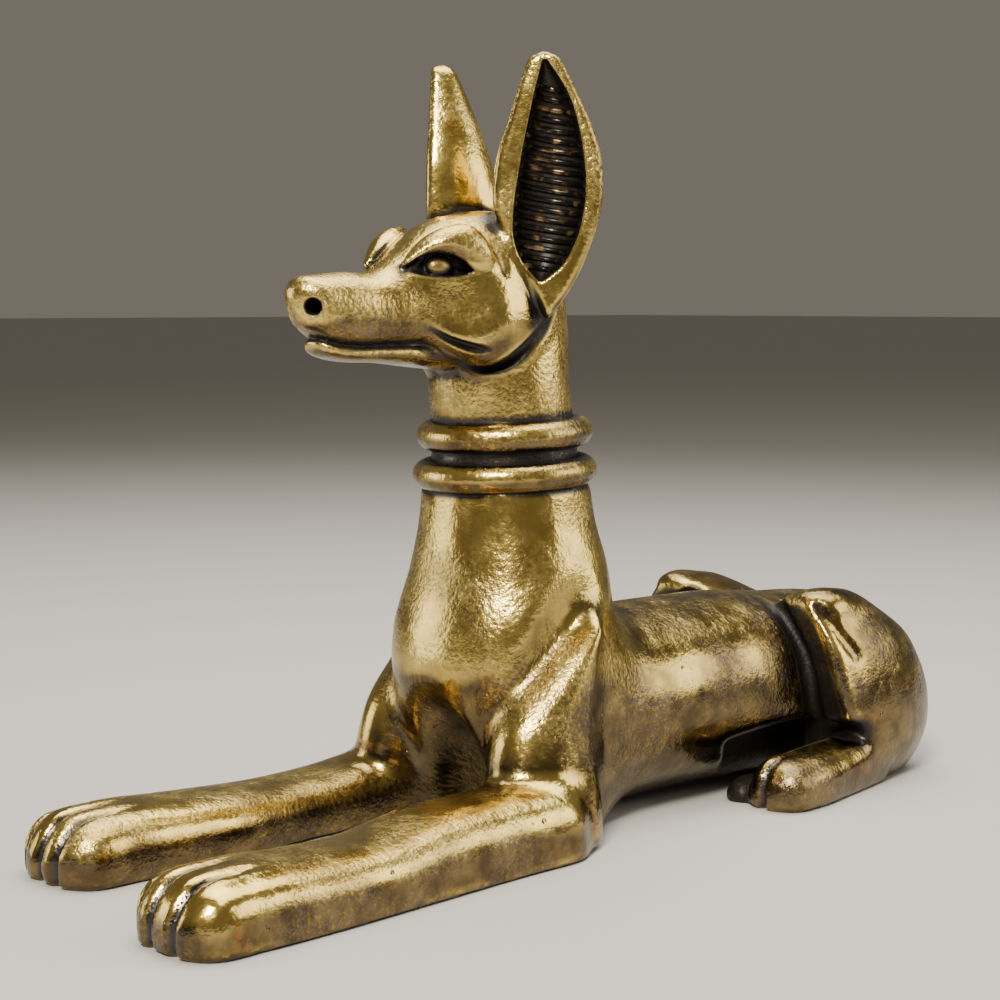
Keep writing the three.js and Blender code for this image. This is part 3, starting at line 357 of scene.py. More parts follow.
LEFT_LEAN, RIGHT_LEAN = 1.45, -1.3     # how far each paw lies off straight, outward
LEFT_TOES, RIGHT_TOES = (-0.35, -0.11, 0.19), (-0.195, 0.04, 0.31)
left_leg = foreleg(1, -LEG_REACH, LEFT_LEAN, 0, LEFT_TOES)
right_leg = foreleg(-1, RIGHT_PAW_BACK - LEG_REACH, RIGHT_LEAN, 0.75, RIGHT_TOES)
neck = loft_up(neck_ruler, [
    (-0.333, 0, 0.000, 0.551, 0.551),
    (0.315, 0, -0.007, 0.514, 0.514),
    (0.870, 0, -0.058, 0.493, 0.500),
    (1.333, 0, -0.036, 0.464, 0.478),
    (1.889, 0, -0.051, 0.406, 0.377)], 1.0, 2)


def body(x, y, z):
    """All forms below the head, joined or cut in turn, each with its own blend."""
    side = np.abs(x)
    front = soft_max(chest(x, y, z), -shoulder_dish(side, y, z), 0.7)
    d = soft_min(torso(x, y, z), front, 2.2)
    d = soft_max(d, -shoulder_band(side, y, z), 1.2)
    d = soft_min(d, upper_arm(side, y, z), 0.9)
    d = soft_max(d, -arch(x, y, z), 1.3)
    d = soft_max(d, -arch_depth(x, y, z), 0.5)
    d = soft_min(d, left_leg(x, y, z), 0.8)
    d = soft_min(d, right_leg(x, y, z), 0.8)
    d = soft_min(d, rump(x, y, z), 1.0)
    d = soft_min(d, haunch(side, y, z), 0.3)
    d = soft_max(d, -shin_crease(side, y, z), 0.5)
    d = soft_max(d, -foot_recess(side, y, z), 0.6)
    d = soft_min(d, toe_web(side, y, z), 0.3)
    d = soft_min(d, hind_foot(side, y, z), 0.35)
    d = soft_min(d, tail(x, y, z), 0.35)
    return soft_min(soft_max(d, -z, 0.25), neck(x, y, z), 0.25)


COLLAR_WIDTH = 9.04     # outside of the lower collar ring
COLLAR_ROPE = 1.44      # thickness of one ring
COLLAR_DIP = 0.045      # rise of a ring to the back, share of its depth
COLLAR_STRETCH = 0.95   # thickness of a ring beside its height
collar_rings = [(CHEST_HEIGHT + share * NECK_LENGTH, (COLLAR_WIDTH * width - COLLAR_ROPE) / 2)
                for share, width in ((0.028, 1), (0.38, 0.956))]


def collar_form(x, y, z):
    rings = [length(length(x, y) - radius, (z - height - COLLAR_DIP * y) * COLLAR_STRETCH)
             for height, radius in collar_rings]
    return np.minimum(*rings) - COLLAR_ROPE / 2


def sampled(form, low, high, step, block=4, batch=6000):
    """Values of a form on a lattice. Blocks of its points are worked out point by point only near
    the surface, a batch of blocks at a time."""
    count = [math.ceil((b - a) / step / block) for a, b in zip(low, high)]
    starts = [np.arange(n) * block for n in count]
    middles = [a + (start + (block - 1) / 2) * step for a, start in zip(low, starts)]
    grid = np.meshgrid(*middles, indexing="ij")
    coarse = form(*(g.ravel() for g in grid)).reshape(count)
    field = coarse
    for axis in range(3):
        field = np.repeat(field, block, axis)
    near = np.argwhere(np.abs(coarse) < block * step) * block
    offsets = np.argwhere(np.ones((block, block, block)))
    for part in np.array_split(near, max(1, len(near) // batch)):
        at = (part[:, None] + offsets).reshape(-1, 3)
        x, y, z = (a + step * at[:, n] for n, a in enumerate(low))
        field[tuple(at.T)] = form(x, y, z)
    return field


def steepness(form, points, step=0.02):
    """Slope of a form at each point."""
    slopes = []
    for axis in range(3):
        shift = np.zeros(3)
        shift[axis] = step
        slopes.append((form(*(points + shift).T) - form(*(points - shift).T)) / (2 * step))
    return np.array(slopes).T


def settled(form, points, most, level=False, rounds=3):
    """Points moved onto the surface of a form, sideways only if they must keep their height."""
    start = points
    for _ in range(rounds):
        slope = steepness(form, points)
        if level:
            slope[:, 2] = 0
        steep = np.maximum((slope * slope).sum(1), 0.1)
        points = points - slope * np.clip(form(*points.T) / steep, -most, most)[:, None]
    # A point that went too far goes back to where it was
    strayed = np.linalg.norm(points - start, axis=1) > 2 * most
    points[strayed] = start[strayed]
    return points


def window(ends):
    """A lattice without its last layer (0) or its first one (1) along the given axes."""
    kept = slice(None, -1), slice(1, None)
    return tuple(kept[ends[axis]] if axis in ends else slice(None) for axis in range(3))


def skin(form, low, high, step):
    """Points and four-sided faces of the surface of a form."""
    field = sampled(form, low, high, step)
    inside = field < 0
    # Where inside and outside touch only across the diagonal of a square, one corner is filled
    for _ in range(4):
        for u, v in ((0, 1), (0, 2), (1, 2)):
            a, b, c, d = (inside[window({u: i, v: j})] for i, j in ((0, 0), (1, 0), (0, 1), (1, 1)))
            pinch = (a == d) & (b == c) & (a != b)
            from_a = pinch & a
            b |= from_a
            a |= pinch & ~from_a
    field[inside & (field >= 0)] = -0.05 * step
    shape = np.array(field.shape)
    stride = np.array([shape[1] * shape[2], shape[2], 1])
    cells = np.zeros(field.size, int)
    sums = np.zeros((field.size, 3))
    quads = []
    # A face for each lattice edge that the surface crosses, a point for each cell it runs through
    for axis in range(3):
        lower, upper = window({axis: 0}), window({axis: 1})
        at = np.argwhere(inside[lower] != inside[upper])
        a, b = field[lower][tuple(at.T)], field[upper][tuple(at.T)]
        crossing = at.astype(float)
        crossing[:, axis] += a / (a - b)
        n = at @ stride
        u, v = stride[(axis + 1) % 3], stride[(axis + 2) % 3]
        ring = np.array([n, n - u, n - u - v, n - v]).T
        for m in ring.T:
            cells += np.bincount(m, minlength=field.size)
            for c in range(3):
                sums[:, c] += np.bincount(m, crossing[:, c], field.size)
        ring[a >= 0] = ring[a >= 0][:, ::-1]
        quads.append(ring)
    used = np.flatnonzero(cells)
    points = np.asarray(low) + sums[used] / cells[used, None] * step
    number = np.zeros(field.size, int)
    number[used] = np.arange(len(used))
    return points, number[np.concatenate(quads)]


# Where the axis of the neck stands in the shared frame, in millimetres
CAST_PLACE = np.array([-0.6021, -2.2269, 0.0])
MILLIMETRE = 0.001


def cast_skin(name, form, whole, cuts, low, high, step, flat=None):
    """A piece of the casting as a mesh in metres, with the marks of its finish."""
    points, faces = skin(form, low, high, step)
    points = settled(form, points, 0.6 * step)
    if flat is not None:
        # What lies on the ground is made level, and its rim goes back to the outline
        sole = np.flatnonzero(points[:, 2] < flat + 0.6 * step)
        points[sole, 2] = flat
        lifted = points[sole] + np.array([0, 0, 0.001])
        rim = sole[form(*lifted.T) > -0.8 * step]
        points[rim] = settled(whole, points[rim], 0.8 * step, level=True)
    mesh = bpy.data.meshes.new(name)
    mesh.from_pydata(((points + CAST_PLACE) * MILLIMETRE).tolist(), [], faces.tolist())
    mesh.polygons.foreach_set("use_smooth", np.ones(len(mesh.polygons), bool))
    mesh.update()
    mark(mesh, whole, cuts)
    piece = bpy.data.objects.new(name, mesh)
    bpy.context.collection.objects.link(piece)
    return piece


def mark(mesh, whole, cuts=()):
    """Stores four marks on a mesh's points, read off the forms round them: how deep a point lies in a
    hollow, how far it stands out, how near it is to a black cut, and how much painted shade it gets
    where it faces down or lies towards the back. Each cut is a form of the left side, how far its
    black spreads from it in millimetres, and how black it is. That black is patina in the openings
    and lines, and painted shade in the deep recesses, the creases of the haunch and under the cheek."""
    points = np.empty(len(mesh.vertices) * 3)
    mesh.vertices.foreach_get("co", points)
    points = points.reshape(-1, 3) / MILLIMETRE - CAST_PLACE
    slope = steepness(whole, points, 0.05)
    out = slope / np.maximum(np.linalg.norm(slope, axis=1), 1e-3)[:, None]
    # How much metal stands round a point, and how little lies behind it, some reaches away
    hollow = np.zeros(len(points))
    for reach, weight in ((0.22, 0.3), (0.5, 0.4), (1.1, 0.3)):
        open_way = whole(*(points + out * reach).T) / reach
        hollow += weight * np.clip(1 - open_way, 0, 1)
    edge = np.zeros(len(points))
    for reach, weight in ((0.3, 0.5), (0.7, 0.5)):
        depth = -whole(*(points - out * reach).T) / reach
        edge += weight * np.clip(1 - depth, 0, 1)
    black = np.zeros(len(points))
    x, y, z = points.T
    for cut, spread, depth in cuts:
        black = np.maximum(black, depth * np.clip(1 - cut(np.abs(x), y, z) / spread, 0, 1))
    # Painted shade: kept rises where a point faces down, lies low or lies towards the back, and the
    # brass is darker there
    below = np.clip(0.1 + 0.3 * np.clip((0.8 * BACK_HEIGHT - z) / 4, 0, 1) - out[:, 2], 0, 1)
    behind = np.clip((y - 2) / 4, 0, 1) * np.clip((1.4 * BACK_HEIGHT - z) / 3, 0, 1)
    kept = below + 0.16 * behind
    for label, values in (("hollow", hollow), ("edge", edge), ("black", black), ("kept", kept)):
        data = mesh.attributes.new(label, "FLOAT", "POINT")
        data.data.foreach_set("value", values.astype(np.float32))


class Wire:
    """An output of a node. Sums and comparisons of wires put in the Math nodes they need."""

    def __init__(self, wiring, socket):
        self.wiring, self.socket = wiring, socket

    def output(self, name):
        """Another output of the same node."""
        return Wire(self.wiring, self.socket.node.outputs[name])

    def _math(self, operation, *values, clamp=False):
        return self.wiring.node("ShaderNodeMath", {"operation": operation, "use_clamp": clamp},
                                *values)

    def __add__(self, other):
        return self._math("ADD", self, other)

    def __sub__(self, other):
        return self._math("SUBTRACT", self, other)

    def __rsub__(self, other):
        return self._math("SUBTRACT", other, self)

    def __mul__(self, other):
        return self._math("MULTIPLY", self, other)

    def __lt__(self, other):
        return self._math("LESS_THAN", self, other)

    def __gt__(self, other):
        return self._math("GREATER_THAN", self, other)

    __radd__ = __add__
    __rmul__ = __mul__

    def held(self):
        """The same number kept between 0 and 1."""
        return self._math("ADD", self, 0.0, clamp=True)

    def ramp(self, low, high):
        """0 below low, 1 above high, a soft rise between; high may be the smaller one."""
        return self.wiring.node("ShaderNodeMapRange", {"interpolation_type": "SMOOTHSTEP"},
                                Value=self, From_Min=low, From_Max=high)


class Wiring:
    """The nodes of one tree."""

    def __init__(self, tree):
        self.tree = tree
        tree.nodes.clear()

    def node(self, kind, settings=None, *places, out=0, **named):
        """Makes a node: its settings first, then the values or wires of its sockets, which are
        given in turn or by name, with _ for a space."""
        made = self.tree.nodes.new(kind)
        for key, value in (settings or {}).items():
            setattr(made, key, value)
        for key, value in [*enumerate(places), *named.items()]:
            socket = made.inputs[key.replace("_", " ") if key in named else key]
            self.feed(socket, value)
        return Wire(self, made.outputs[out]) if made.outputs else None

    def feed(self, socket, value):
        """Gives a socket a wire or a value."""
        if isinstance(value, Wire):
            self.tree.links.new(value.socket, socket)
        else:
            socket.default_value = value


class Finish(Wiring):
    """A material and the nodes of its pattern."""

    def __init__(self, name):
        self.material = bpy.data.materials.new(name)
        self.material.use_nodes = True
        super().__init__(self.material.node_tree)

    def spots(self, place, scale, detail, roughness):
        """Soft spots, so many to a metre."""
        return self.node("ShaderNodeTexNoise", None, Vector=place, Scale=scale, Detail=detail,
                         Roughness=roughness)

    def colour(self, mask, low, high):
        """A colour that goes from low to high with a mask; each may be a colour or a wire."""
        mix = self.tree.nodes.new("ShaderNodeMix")
        mix.data_type = "RGBA"
        for number, value in ((0, mask), (6, low), (7, high)):
            self.feed(mix.inputs[number], (*value, 1.0) if isinstance(value, tuple) else value)
        return Wire(self, mix.outputs[2])

    def surface(self, **sockets):
        """Ends the tree with a shader of these sockets, and gives the material."""
        shader = self.node("ShaderNodeBsdfPrincipled", None, **sockets)
        self.node("ShaderNodeOutputMaterial", None, Surface=shader)
        return self.material


RUBBED_BRASS = (0.66, 0.465, 0.12), (0.83, 0.62, 0.17)
DULL_BRASS = (0.085, 0.060, 0.032), (0.20, 0.138, 0.058)
RUST_SPOT = (0.30, 0.105, 0.035)
SANDY_GRAIN = (0.20, 0.165, 0.155)
GREY_TARNISH = (0.055, 0.055, 0.062)
# Black of the patina, and of the painted shade in the deep recesses and under the cheek
BLACK_PATINA_AND_SHADE = (0.013, 0.010, 0.009)
SAND_SCALE = 5200.0     # grains to a metre
SPECKLE_SCALE = 2700.0
PORE_SCALE = 900.0
PATCH_SCALE = 640.0
CLOUD_SCALE = 210.0
SKIN_DEPTH = 0.00008    # how rough the skin of the casting is, in metres


def antique_brass(name, pits=1.0, rub=0.0):
    """Cast brass with a dark patina: rubbed bright on what stands out, a fine sandy grain on the
    flatter skin, black patina where nothing has rubbed it. What faces down or lies to the back is
    darkened as painted shade, and the black in the deep recesses and under the cheek is painted
    shade."""
    finish = Finish(name)
    place = finish.node("ShaderNodeTexCoord", out="Object")
    hollow, edge, black, kept = (
        finish.node("ShaderNodeAttribute", {"attribute_name": label}, out="Fac")
        for label in ("hollow", "edge", "black", "kept"))
    sand = finish.spots(place, SAND_SCALE, 2.0, 0.55)
    speckle = finish.spots(place, SPECKLE_SCALE, 3.0, 0.6)
    patches = finish.spots(place, PATCH_SCALE, 3.0, 0.6)
    clouds = finish.spots(place, CLOUD_SCALE, 2.0, 0.5)
    pores = finish.node("ShaderNodeTexVoronoi", {"feature": "F1"}, Vector=place, Scale=PORE_SCALE)
    # How far the dark skin is rubbed off, lowered by the painted shade of kept, and how sandy the
    # skin is
    wear_and_shade = (edge * 1.4 - hollow * 1.3 - kept * 1.5 + (clouds - 0.5) * 0.8
            + (patches - 0.5) * 0.3 + 0.55 + rub).held()
    sandy = (clouds.ramp(0.62, 0.38) * 0.8 + patches.ramp(0.4, 0.7) * 0.3).held()
    grit = (sand - 0.5) * 2.2 + (speckle - 0.5) * 1.2
    # dark: black patina from the hollows and cuts; the cuts' black in the deep recesses and under the
    # cheek is painted shade
    dark = ((black + (patches - 0.5) * 0.5 * black).ramp(0.2, 0.8) + hollow.ramp(0.3, 0.8)
            + (speckle - 0.55) * 0.5 * (1 - wear_and_shade)).held()
    # The colours, each laid over the one before
    rubbed = finish.colour(patches.ramp(0.3, 0.7), *RUBBED_BRASS)
    dull = finish.colour(patches.ramp(0.35, 0.7), *DULL_BRASS)
    rust = finish.colour(clouds.ramp(0.64, 0.70) * speckle.ramp(0.5, 0.6), dull, RUST_SPOT)
    metal = finish.colour((wear_and_shade.ramp(0.1, 0.7) + grit * sandy * 0.5).held(), rust, rubbed)
    grains = finish.colour(sand.ramp(0.50, 0.38) * sandy * 0.55, metal, SANDY_GRAIN)
    tarnish = finish.colour(hollow.ramp(0.06, 0.45) * 0.8, grains, GREY_TARNISH)
    colour = finish.colour(dark, tarnish, BLACK_PATINA_AND_SHADE)
    # The skin's relief
    pit = pores.ramp(0.16, 0.05) * patches.ramp(0.56, 0.66)
    height = (sand * (sandy * 0.9 + 0.15) + speckle * (sandy * 0.5 + 0.2) + patches * 0.5
              - pit * 2.0 * pits)
    relief = finish.node("ShaderNodeBump", None, Strength=0.6, Distance=SKIN_DEPTH, Height=height)
    return finish.surface(
        Base_Color=colour, Roughness=(0.17 + sandy * 0.16 + dark * 0.22 + grit * 0.05).held(),
        Metallic=(1 - dark * 0.5).held(), Normal=relief)


BODY_END = 0.045        # how far up the neck the body's piece goes, share of the neck


def cast_body(x, y, z):
    """The body as one closed piece, flat below and ended under the collar."""
    top = CHEST_HEIGHT + BODY_END * NECK_LENGTH + COLLAR_DIP * y
    return np.maximum.reduce([body(x, y, z), -z, z - top])


def body_and_collar(x, y, z):
    """What lies round a point of the body, for the marks of its finish."""
    return np.minimum(body(x, y, z), collar_form(x, y, z))


def shin_face(x, y, z):
    """The front of the folded shin, painted black as shade down to the foot but for its outer edge.
    """
    low = 0.3 * BACK_HEIGHT
    return np.maximum.reduce([np.abs(shin_front(x, y, z)), low - z, 0.2 * BODY_WIDTH - x,
                              0.9 + thigh(x, y, z)])


def open_recess(x, y, z):
    """The recess under the flank, which is painted black as shade, without the toes and the outer
    side of the foot in it.
    """
    bare_foot = np.maximum(x - 0.40 * BODY_WIDTH, foot_ruler.y0 + 1.6 - y)
    return np.maximum.reduce([recess_side(x, y, z), 0.2 * BODY_WIDTH - x,
                              np.minimum(0.5 - hind_foot(x, y, z), bare_foot)])


# Black marks: along the chased shin line it is patina; on the toe web, the shin crease, the front of
# the shin, the recess over the hind foot and deep in the arch it is painted shade
BODY_CUTS = [(toe_web, 0.25, 1.0), (shin_crease, 0.7, 1.0), (shin_face, 0.6, 0.9),
             (open_recess, 0.6, 1.0), (arch_depth, 1.4, 0.8), (shin_line, 0.2, 0.8)]
BODY_STEP = 0.2         # size of a face of the body, in millimetres
body_piece = cast_skin(
    "jackal_body", cast_body, body_and_collar, BODY_CUTS,
    (-0.62 * BODY_WIDTH, -LEG_REACH - 1.0, -2.5 * BODY_STEP),
    (0.66 * BODY_WIDTH, BODY_LENGTH + TAIL_THICKNESS, CHEST_HEIGHT + 1.5), BODY_STEP, flat=0.0)
brass = antique_brass("antique_brass")
body_piece.data.materials.append(brass)
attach(body_piece, "root")
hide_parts("jackal_figure")


# The collar: two plain rings round the foot of the neck, cast with it and dipping to the front.
# Each is a round bar bent to a circle; the seams of the casting above and below hide under them.
class Growth(Wiring):
    """Geometry Nodes with named inputs, which are given when a piece is grown."""

    def __init__(self, name, inputs):
        super().__init__(bpy.data.node_groups.new(name, "GeometryNodeTree"))
        add = self.tree.interface.new_socket
        for label, kind in inputs.items():
            add(label, in_out="INPUT", socket_type="NodeSocket" + kind)
        add("Geometry", in_out="OUTPUT", socket_type="NodeSocketGeometry")
        source = self.tree.nodes.new("NodeGroupInput")
        self.given = {label: Wire(self, source.outputs[label]) for label in inputs}

    def bar(self, line, radius, sides, closed_ends):
        """A round bar along a line."""
        profile = self.node("GeometryNodeCurvePrimitiveCircle", None, Resolution=sides, Radius=radius)
        return self.node("GeometryNodeCurveToMesh", None, Curve=line, Profile_Curve=profile,
                         Fill_Caps=closed_ends)

    def finished(self, shape, material):
        """Ends the tree with the shape in its material."""
        real = self.node("GeometryNodeRealizeInstances", None, Geometry=shape)
        coat = self.node("GeometryNodeSetMaterial", None, Geometry=real, Material=material)
        self.node("NodeGroupOutput", None, Geometry=coat)
        return self.tree


def ring_tree():
    """Geometry Nodes for one collar ring: a round bar bent to a circle, tipped and lifted."""
    ring = Growth("collar_ring", {"Radius": "Float", "Bar Radius": "Float", "Middle": "Vector",
                                  "Tip": "Vector", "Brass": "Material"})
    circle = ring.node("GeometryNodeCurvePrimitiveCircle", None, Resolution=160,
                       Radius=ring.given["Radius"])
    bent = ring.bar(circle, ring.given["Bar Radius"], 40, closed_ends=False)
    laid = ring.node("GeometryNodeTransform", None, Geometry=bent, Rotation=ring.given["Tip"],
                     Translation=ring.given["Middle"])
    return ring.finished(laid, ring.given["Brass"])


def grown(name, tree, values):
    """A plain mesh object, grown by a node group from the values of its inputs."""
    start = bpy.data.objects.new(name, bpy.data.meshes.new(name))
    bpy.context.collection.objects.link(start)
    grower = start.modifiers.new("grower", "NODES")
    grower.node_group = tree
    for item in tree.interface.items_tree:
        if item.in_out == "INPUT" and item.name in values:
            grower[item.identifier] = values[item.name]
    bpy.context.view_layer.update()
    shape = start.evaluated_get(bpy.context.evaluated_depsgraph_get())
    mesh = bpy.data.meshes.new_from_object(shape)
    start.modifiers.remove(grower)
    start.data = mesh
    mesh.name = name
    mesh.polygons.foreach_set("use_smooth", np.ones(len(mesh.polygons), bool))
    return start


def placed(point):
    """A point of the casting, given in millimetres, in the shared frame."""
    return tuple((point + CAST_PLACE) * MILLIMETRE)


rings = ring_tree()
for label, (height, radius) in zip(("lower", "upper"), collar_rings):
    ring = grown("collar_ring_" + label, rings, {
        "Radius": radius * MILLIMETRE,
        "Bar Radius": COLLAR_ROPE / 2 * MILLIMETRE,
        "Middle": placed(np.array([0, 0, height])),
        "Tip": (math.atan(COLLAR_DIP), 0.0, 0.0),
        "Brass": brass})
    mark(ring.data, body_and_collar)
    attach(ring, "root")
    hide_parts("jackal_figure")


# The head, of the same brass casting: skull, muzzle with its drilled nostrils, eyes under
# leaf-shaped brows, and the slit of the mouth, which runs on as a deep crease under the cheek.
HEAD_LENGTH = 15.1      # nose to nape
HEAD_WIDTH = 6.7
HEAD_HEIGHT = 7.3       # underside of the jaw to the crown
head_ruler = Ruler(HEAD_WIDTH, HEAD_LENGTH, HEAD_HEIGHT, -0.858 * HEAD_LENGTH,
                   CHEST_HEIGHT + NECK_LENGTH)
skull = loft_along(head_ruler, [(y, 0, (top + bottom) / 2, w, (top - bottom) / 2)
                                for y, top, bottom, w in [
    (-0.020, 0.545, 0.300, 0.130),
    (0.040, 0.572, 0.236, 0.186),
    (0.075, 0.580, 0.205, 0.208),
    (0.120, 0.588, 0.152, 0.225),
    (0.190, 0.598, 0.115, 0.248),
    (0.320, 0.616, 0.108, 0.285),
    (0.375, 0.688, 0.103, 0.312),
    (0.460, 0.822, 0.090, 0.370),
    (0.550, 0.932, 0.078, 0.425),
    (0.656, 0.985, 0.068, 0.478),
    (0.788, 1.000, 0.082, 0.500),
    (0.894, 0.904, 0.123, 0.463),
    (1.000, 0.726, 0.178, 0.358)]], 1.2, 2.3)
NOSE_SLOPE = 0.33       # how far the front of the nose slopes back as it comes down
cheek = ellipsoid(head_ruler, (0.262, 0.672, 0.300),
                  (0.297 * HEAD_WIDTH, 0.240 * HEAD_LENGTH, 0.362 * HEAD_HEIGHT), -17)
lower_jaw = loft_along(head_ruler, [
    (0.078, 0, 0.160, 0.075, 0.034),
    (0.100, 0, 0.133, 0.130, 0.048),
    (0.140, 0, 0.108, 0.160, 0.054),
    (0.190, 0, 0.094, 0.182, 0.056),
    (0.316, 0, 0.092, 0.212, 0.065),
    (0.444, 0, 0.085, 0.240, 0.088),
    (0.600, 0, 0.075, 0.255, 0.110)], 0.4, 2.2)
brow = loft_along(head_ruler, [
    (0.358, 0.212, 0.640, 0.020, 0.015),
    (0.384, 0.230, 0.696, 0.050, 0.026),
    (0.424, 0.268, 0.758, 0.085, 0.052),
    (0.475, 0.308, 0.789, 0.115, 0.085),
    (0.520, 0.340, 0.777, 0.125, 0.125),
    (0.570, 0.372, 0.745, 0.118, 0.150),
    (0.612, 0.408, 0.690, 0.085, 0.117),
    (0.643, 0.432, 0.650, 0.030, 0.040)], 0.15, 2.0)
eye_socket = cord(head_ruler, [
    (0.250, 0.380, 0.612, 0.04),
    (0.285, 0.412, 0.632, 0.34),
    (0.315, 0.455, 0.645, 0.52),
    (0.345, 0.505, 0.640, 0.50),
    (0.375, 0.560, 0.612, 0.34),
    (0.440, 0.640, 0.580, 0.10)])
# The eyeball is darkened partly as patina and partly as a painted dark reflection
eyeball = ellipsoid(head_ruler, (0.290, 0.474, 0.632), (0.47, 0.72, 0.50))
eye_hollow = ellipsoid(head_ruler, (0.850, 0.450, 0.400), (3.2, 2.6, 2.0), 10)
cheek_crease = cord(head_ruler, [
    (0.315, 0.432, 0.236, 0.03),
    (0.350, 0.482, 0.185, 0.12),
    (0.430, 0.550, 0.128, 0.20),
    (0.490, 0.600, 0.098, 0.12)])
mouth = cord(head_ruler, [
    (0.000, 0.020, 0.230, 0.16),
    (0.080, 0.040, 0.238, 0.16),
    (0.135, 0.070, 0.218, 0.15),
    (0.160, 0.115, 0.158, 0.13),
    (0.190, 0.165, 0.122, 0.11),
    (0.205, 0.220, 0.126, 0.10),
    (0.215, 0.290, 0.136, 0.10),
    (0.240, 0.396, 0.151, 0.13),
    (0.270, 0.440, 0.112, 0.22)])
nostril = cord(head_ruler, [
    (0.200, 0.020, 0.384, 0.37),
    (0.130, 0.050, 0.384, 0.36),
    (0.070, 0.095, 0.386, 0.30)])
nose_fold = cord(head_ruler, [
    (0.190, 0.072, 0.440, 0.03),
    (0.214, 0.084, 0.380, 0.13),
    (0.200, 0.078, 0.290, 0.10),
    (0.170, 0.070, 0.240, 0.03)])
# The jaw groove is painted black as the shadow under the overhanging cheek
jaw_groove = cord(head_ruler, [
    (0.240, 0.418, 0.147, 0.12),
    (0.275, 0.447, 0.095, 0.22),
    (0.285, 0.500, 0.030, 0.30),
    (0.285, 0.562, 0.005, 0.32),
    (0.325, 0.622, 0.000, 0.34),
    (0.400, 0.675, 0.022, 0.36),
    (0.475, 0.722, 0.070, 0.36),
    (0.525, 0.770, 0.140, 0.34),
    (0.525, 0.822, 0.235, 0.32),
    (0.515, 0.880, 0.360, 0.26)])
brow_edge = cord(head_ruler, [
    (0.300, 0.600, 0.950, 0.06),
    (0.430, 0.640, 0.840, 0.16),
    (0.490, 0.662, 0.700, 0.16),
    (0.490, 0.668, 0.600, 0.05)])


def head(x, y, z):
    side = np.abs(x)
    nose_y = head_ruler.y0 - 0.016 * HEAD_LENGTH
    nose_z = head_ruler.z0 + 0.485 * HEAD_HEIGHT
    front = nose_y + NOSE_SLOPE * np.maximum(nose_z - z, 0) + 0.35 * x * x - y
    d = soft_min(soft_max(skull(x, y, z), front, 0.9), cheek(side, y, z), 0.8)
    d = soft_min(d, lower_jaw(x, y, z), 0.1)
    d = soft_max(d, -eye_hollow(side, y, z), 1.2)
    d = soft_min(d, brow(side, y, z), 0.25)
    d = soft_max(d, -brow_edge(side, y, z), 0.3)
    d = soft_max(d, -eye_socket(side, y, z), 0.1)
    d = np.minimum(d, eyeball(side, y, z))
    d = soft_max(d, -cheek_crease(side, y, z), 0.15)
    d = soft_max(d, -mouth(side, y, z), 0.1)
    d = soft_max(d, -nose_fold(side, y, z), 0.2)
    return soft_max(d, -nostril(side, y, z), 0.08)


# The ears, cast in one with the head: tall leaves with a flat open front turned outward and a
# rounded back, hollowed inside a smooth rim.
EAR_HEIGHT = 12.5
EAR_WIDTH = 5.2
EAR_DEPTH = 3.5
EAR_BOWL = 1.3          # depth of the hollow of an ear
EAR_TURN = 48.7         # degrees that the open side of an ear looks outward
EAR_STATIONS = np.array([   # up, half width, depth, sideways shift, in shares of the ear
    (0.000, 0.010, 0.300, 0.010),
    (0.066, 0.110, 0.455, 0.035),
    (0.218, 0.312, 0.790, 0.040),
    (0.286, 0.394, 0.900, 0.020),
    (0.371, 0.462, 0.965, 0.017),
    (0.434, 0.497, 1.000, 0.012),
    (0.507, 0.501, 0.950, 0.018),
    (0.615, 0.473, 0.840, 0.025),
    (0.739, 0.378, 0.685, 0.027),
    (0.863, 0.267, 0.510, 0.002),
    (0.935, 0.196, 0.400, -0.012),
    (0.975, 0.145, 0.320, -0.018),
    (1.000, 0.075, 0.240, -0.018)])
EAR_HOLLOW = np.array([     # up, half width, sideways shift, in shares of the ear
    (0.147, 0.020, -0.050),
    (0.195, 0.145, -0.028),
    (0.283, 0.263, -0.015),
    (0.391, 0.311, 0.015),
    (0.499, 0.308, 0.042),
    (0.595, 0.283, 0.054),
    (0.723, 0.228, 0.057),
    (0.835, 0.155, 0.043),
    (0.907, 0.085, 0.015),
    (0.965, 0.015, -0.017)])
ear_x, ear_y, ear_foot = head_ruler.place(0.621, 0.786, 0.296)
ear_rises = ear_foot + EAR_STATIONS[:, 0] * EAR_HEIGHT
ear_half = curve(ear_rises, EAR_STATIONS[:, 1] * EAR_WIDTH)
ear_back = curve(ear_rises, EAR_STATIONS[:, 2] * EAR_DEPTH)
ear_shift = curve(ear_rises, EAR_STATIONS[:, 3] * EAR_WIDTH)
bowl_rises = ear_foot + EAR_HOLLOW[:, 0] * EAR_HEIGHT
bowl_half = curve(bowl_rises, EAR_HOLLOW[:, 1] * EAR_WIDTH)
bowl_widest = EAR_HOLLOW[:, 1].max() * EAR_WIDTH
bowl_shift = curve(bowl_rises, EAR_HOLLOW[:, 2] * EAR_WIDTH)
EAR_OUT = math.sin(math.radians(EAR_TURN))
EAR_AHEAD = math.cos(math.radians(EAR_TURN))


def ear_axes(x, y):
    """How far a point lies in front of the open face of its ear, and to the side of its axis."""
    out, back = np.abs(x) - ear_x, y - ear_y
    return out * EAR_OUT - back * EAR_AHEAD, out * EAR_AHEAD + back * EAR_OUT


def ear_leaf(x, y, z):
    """An ear without its hollow, flat in front and half an oval behind."""
    front, across = ear_axes(x, y)
    leaf = oval(across - ear_shift(z), np.maximum(-front, 0), ear_half(z), ear_back(z), 2)
    leaf = soft_max(leaf, front, 0.5)
    return soft_max(leaf, np.maximum(z - ear_foot - EAR_HEIGHT, ear_foot - z), 0.4)


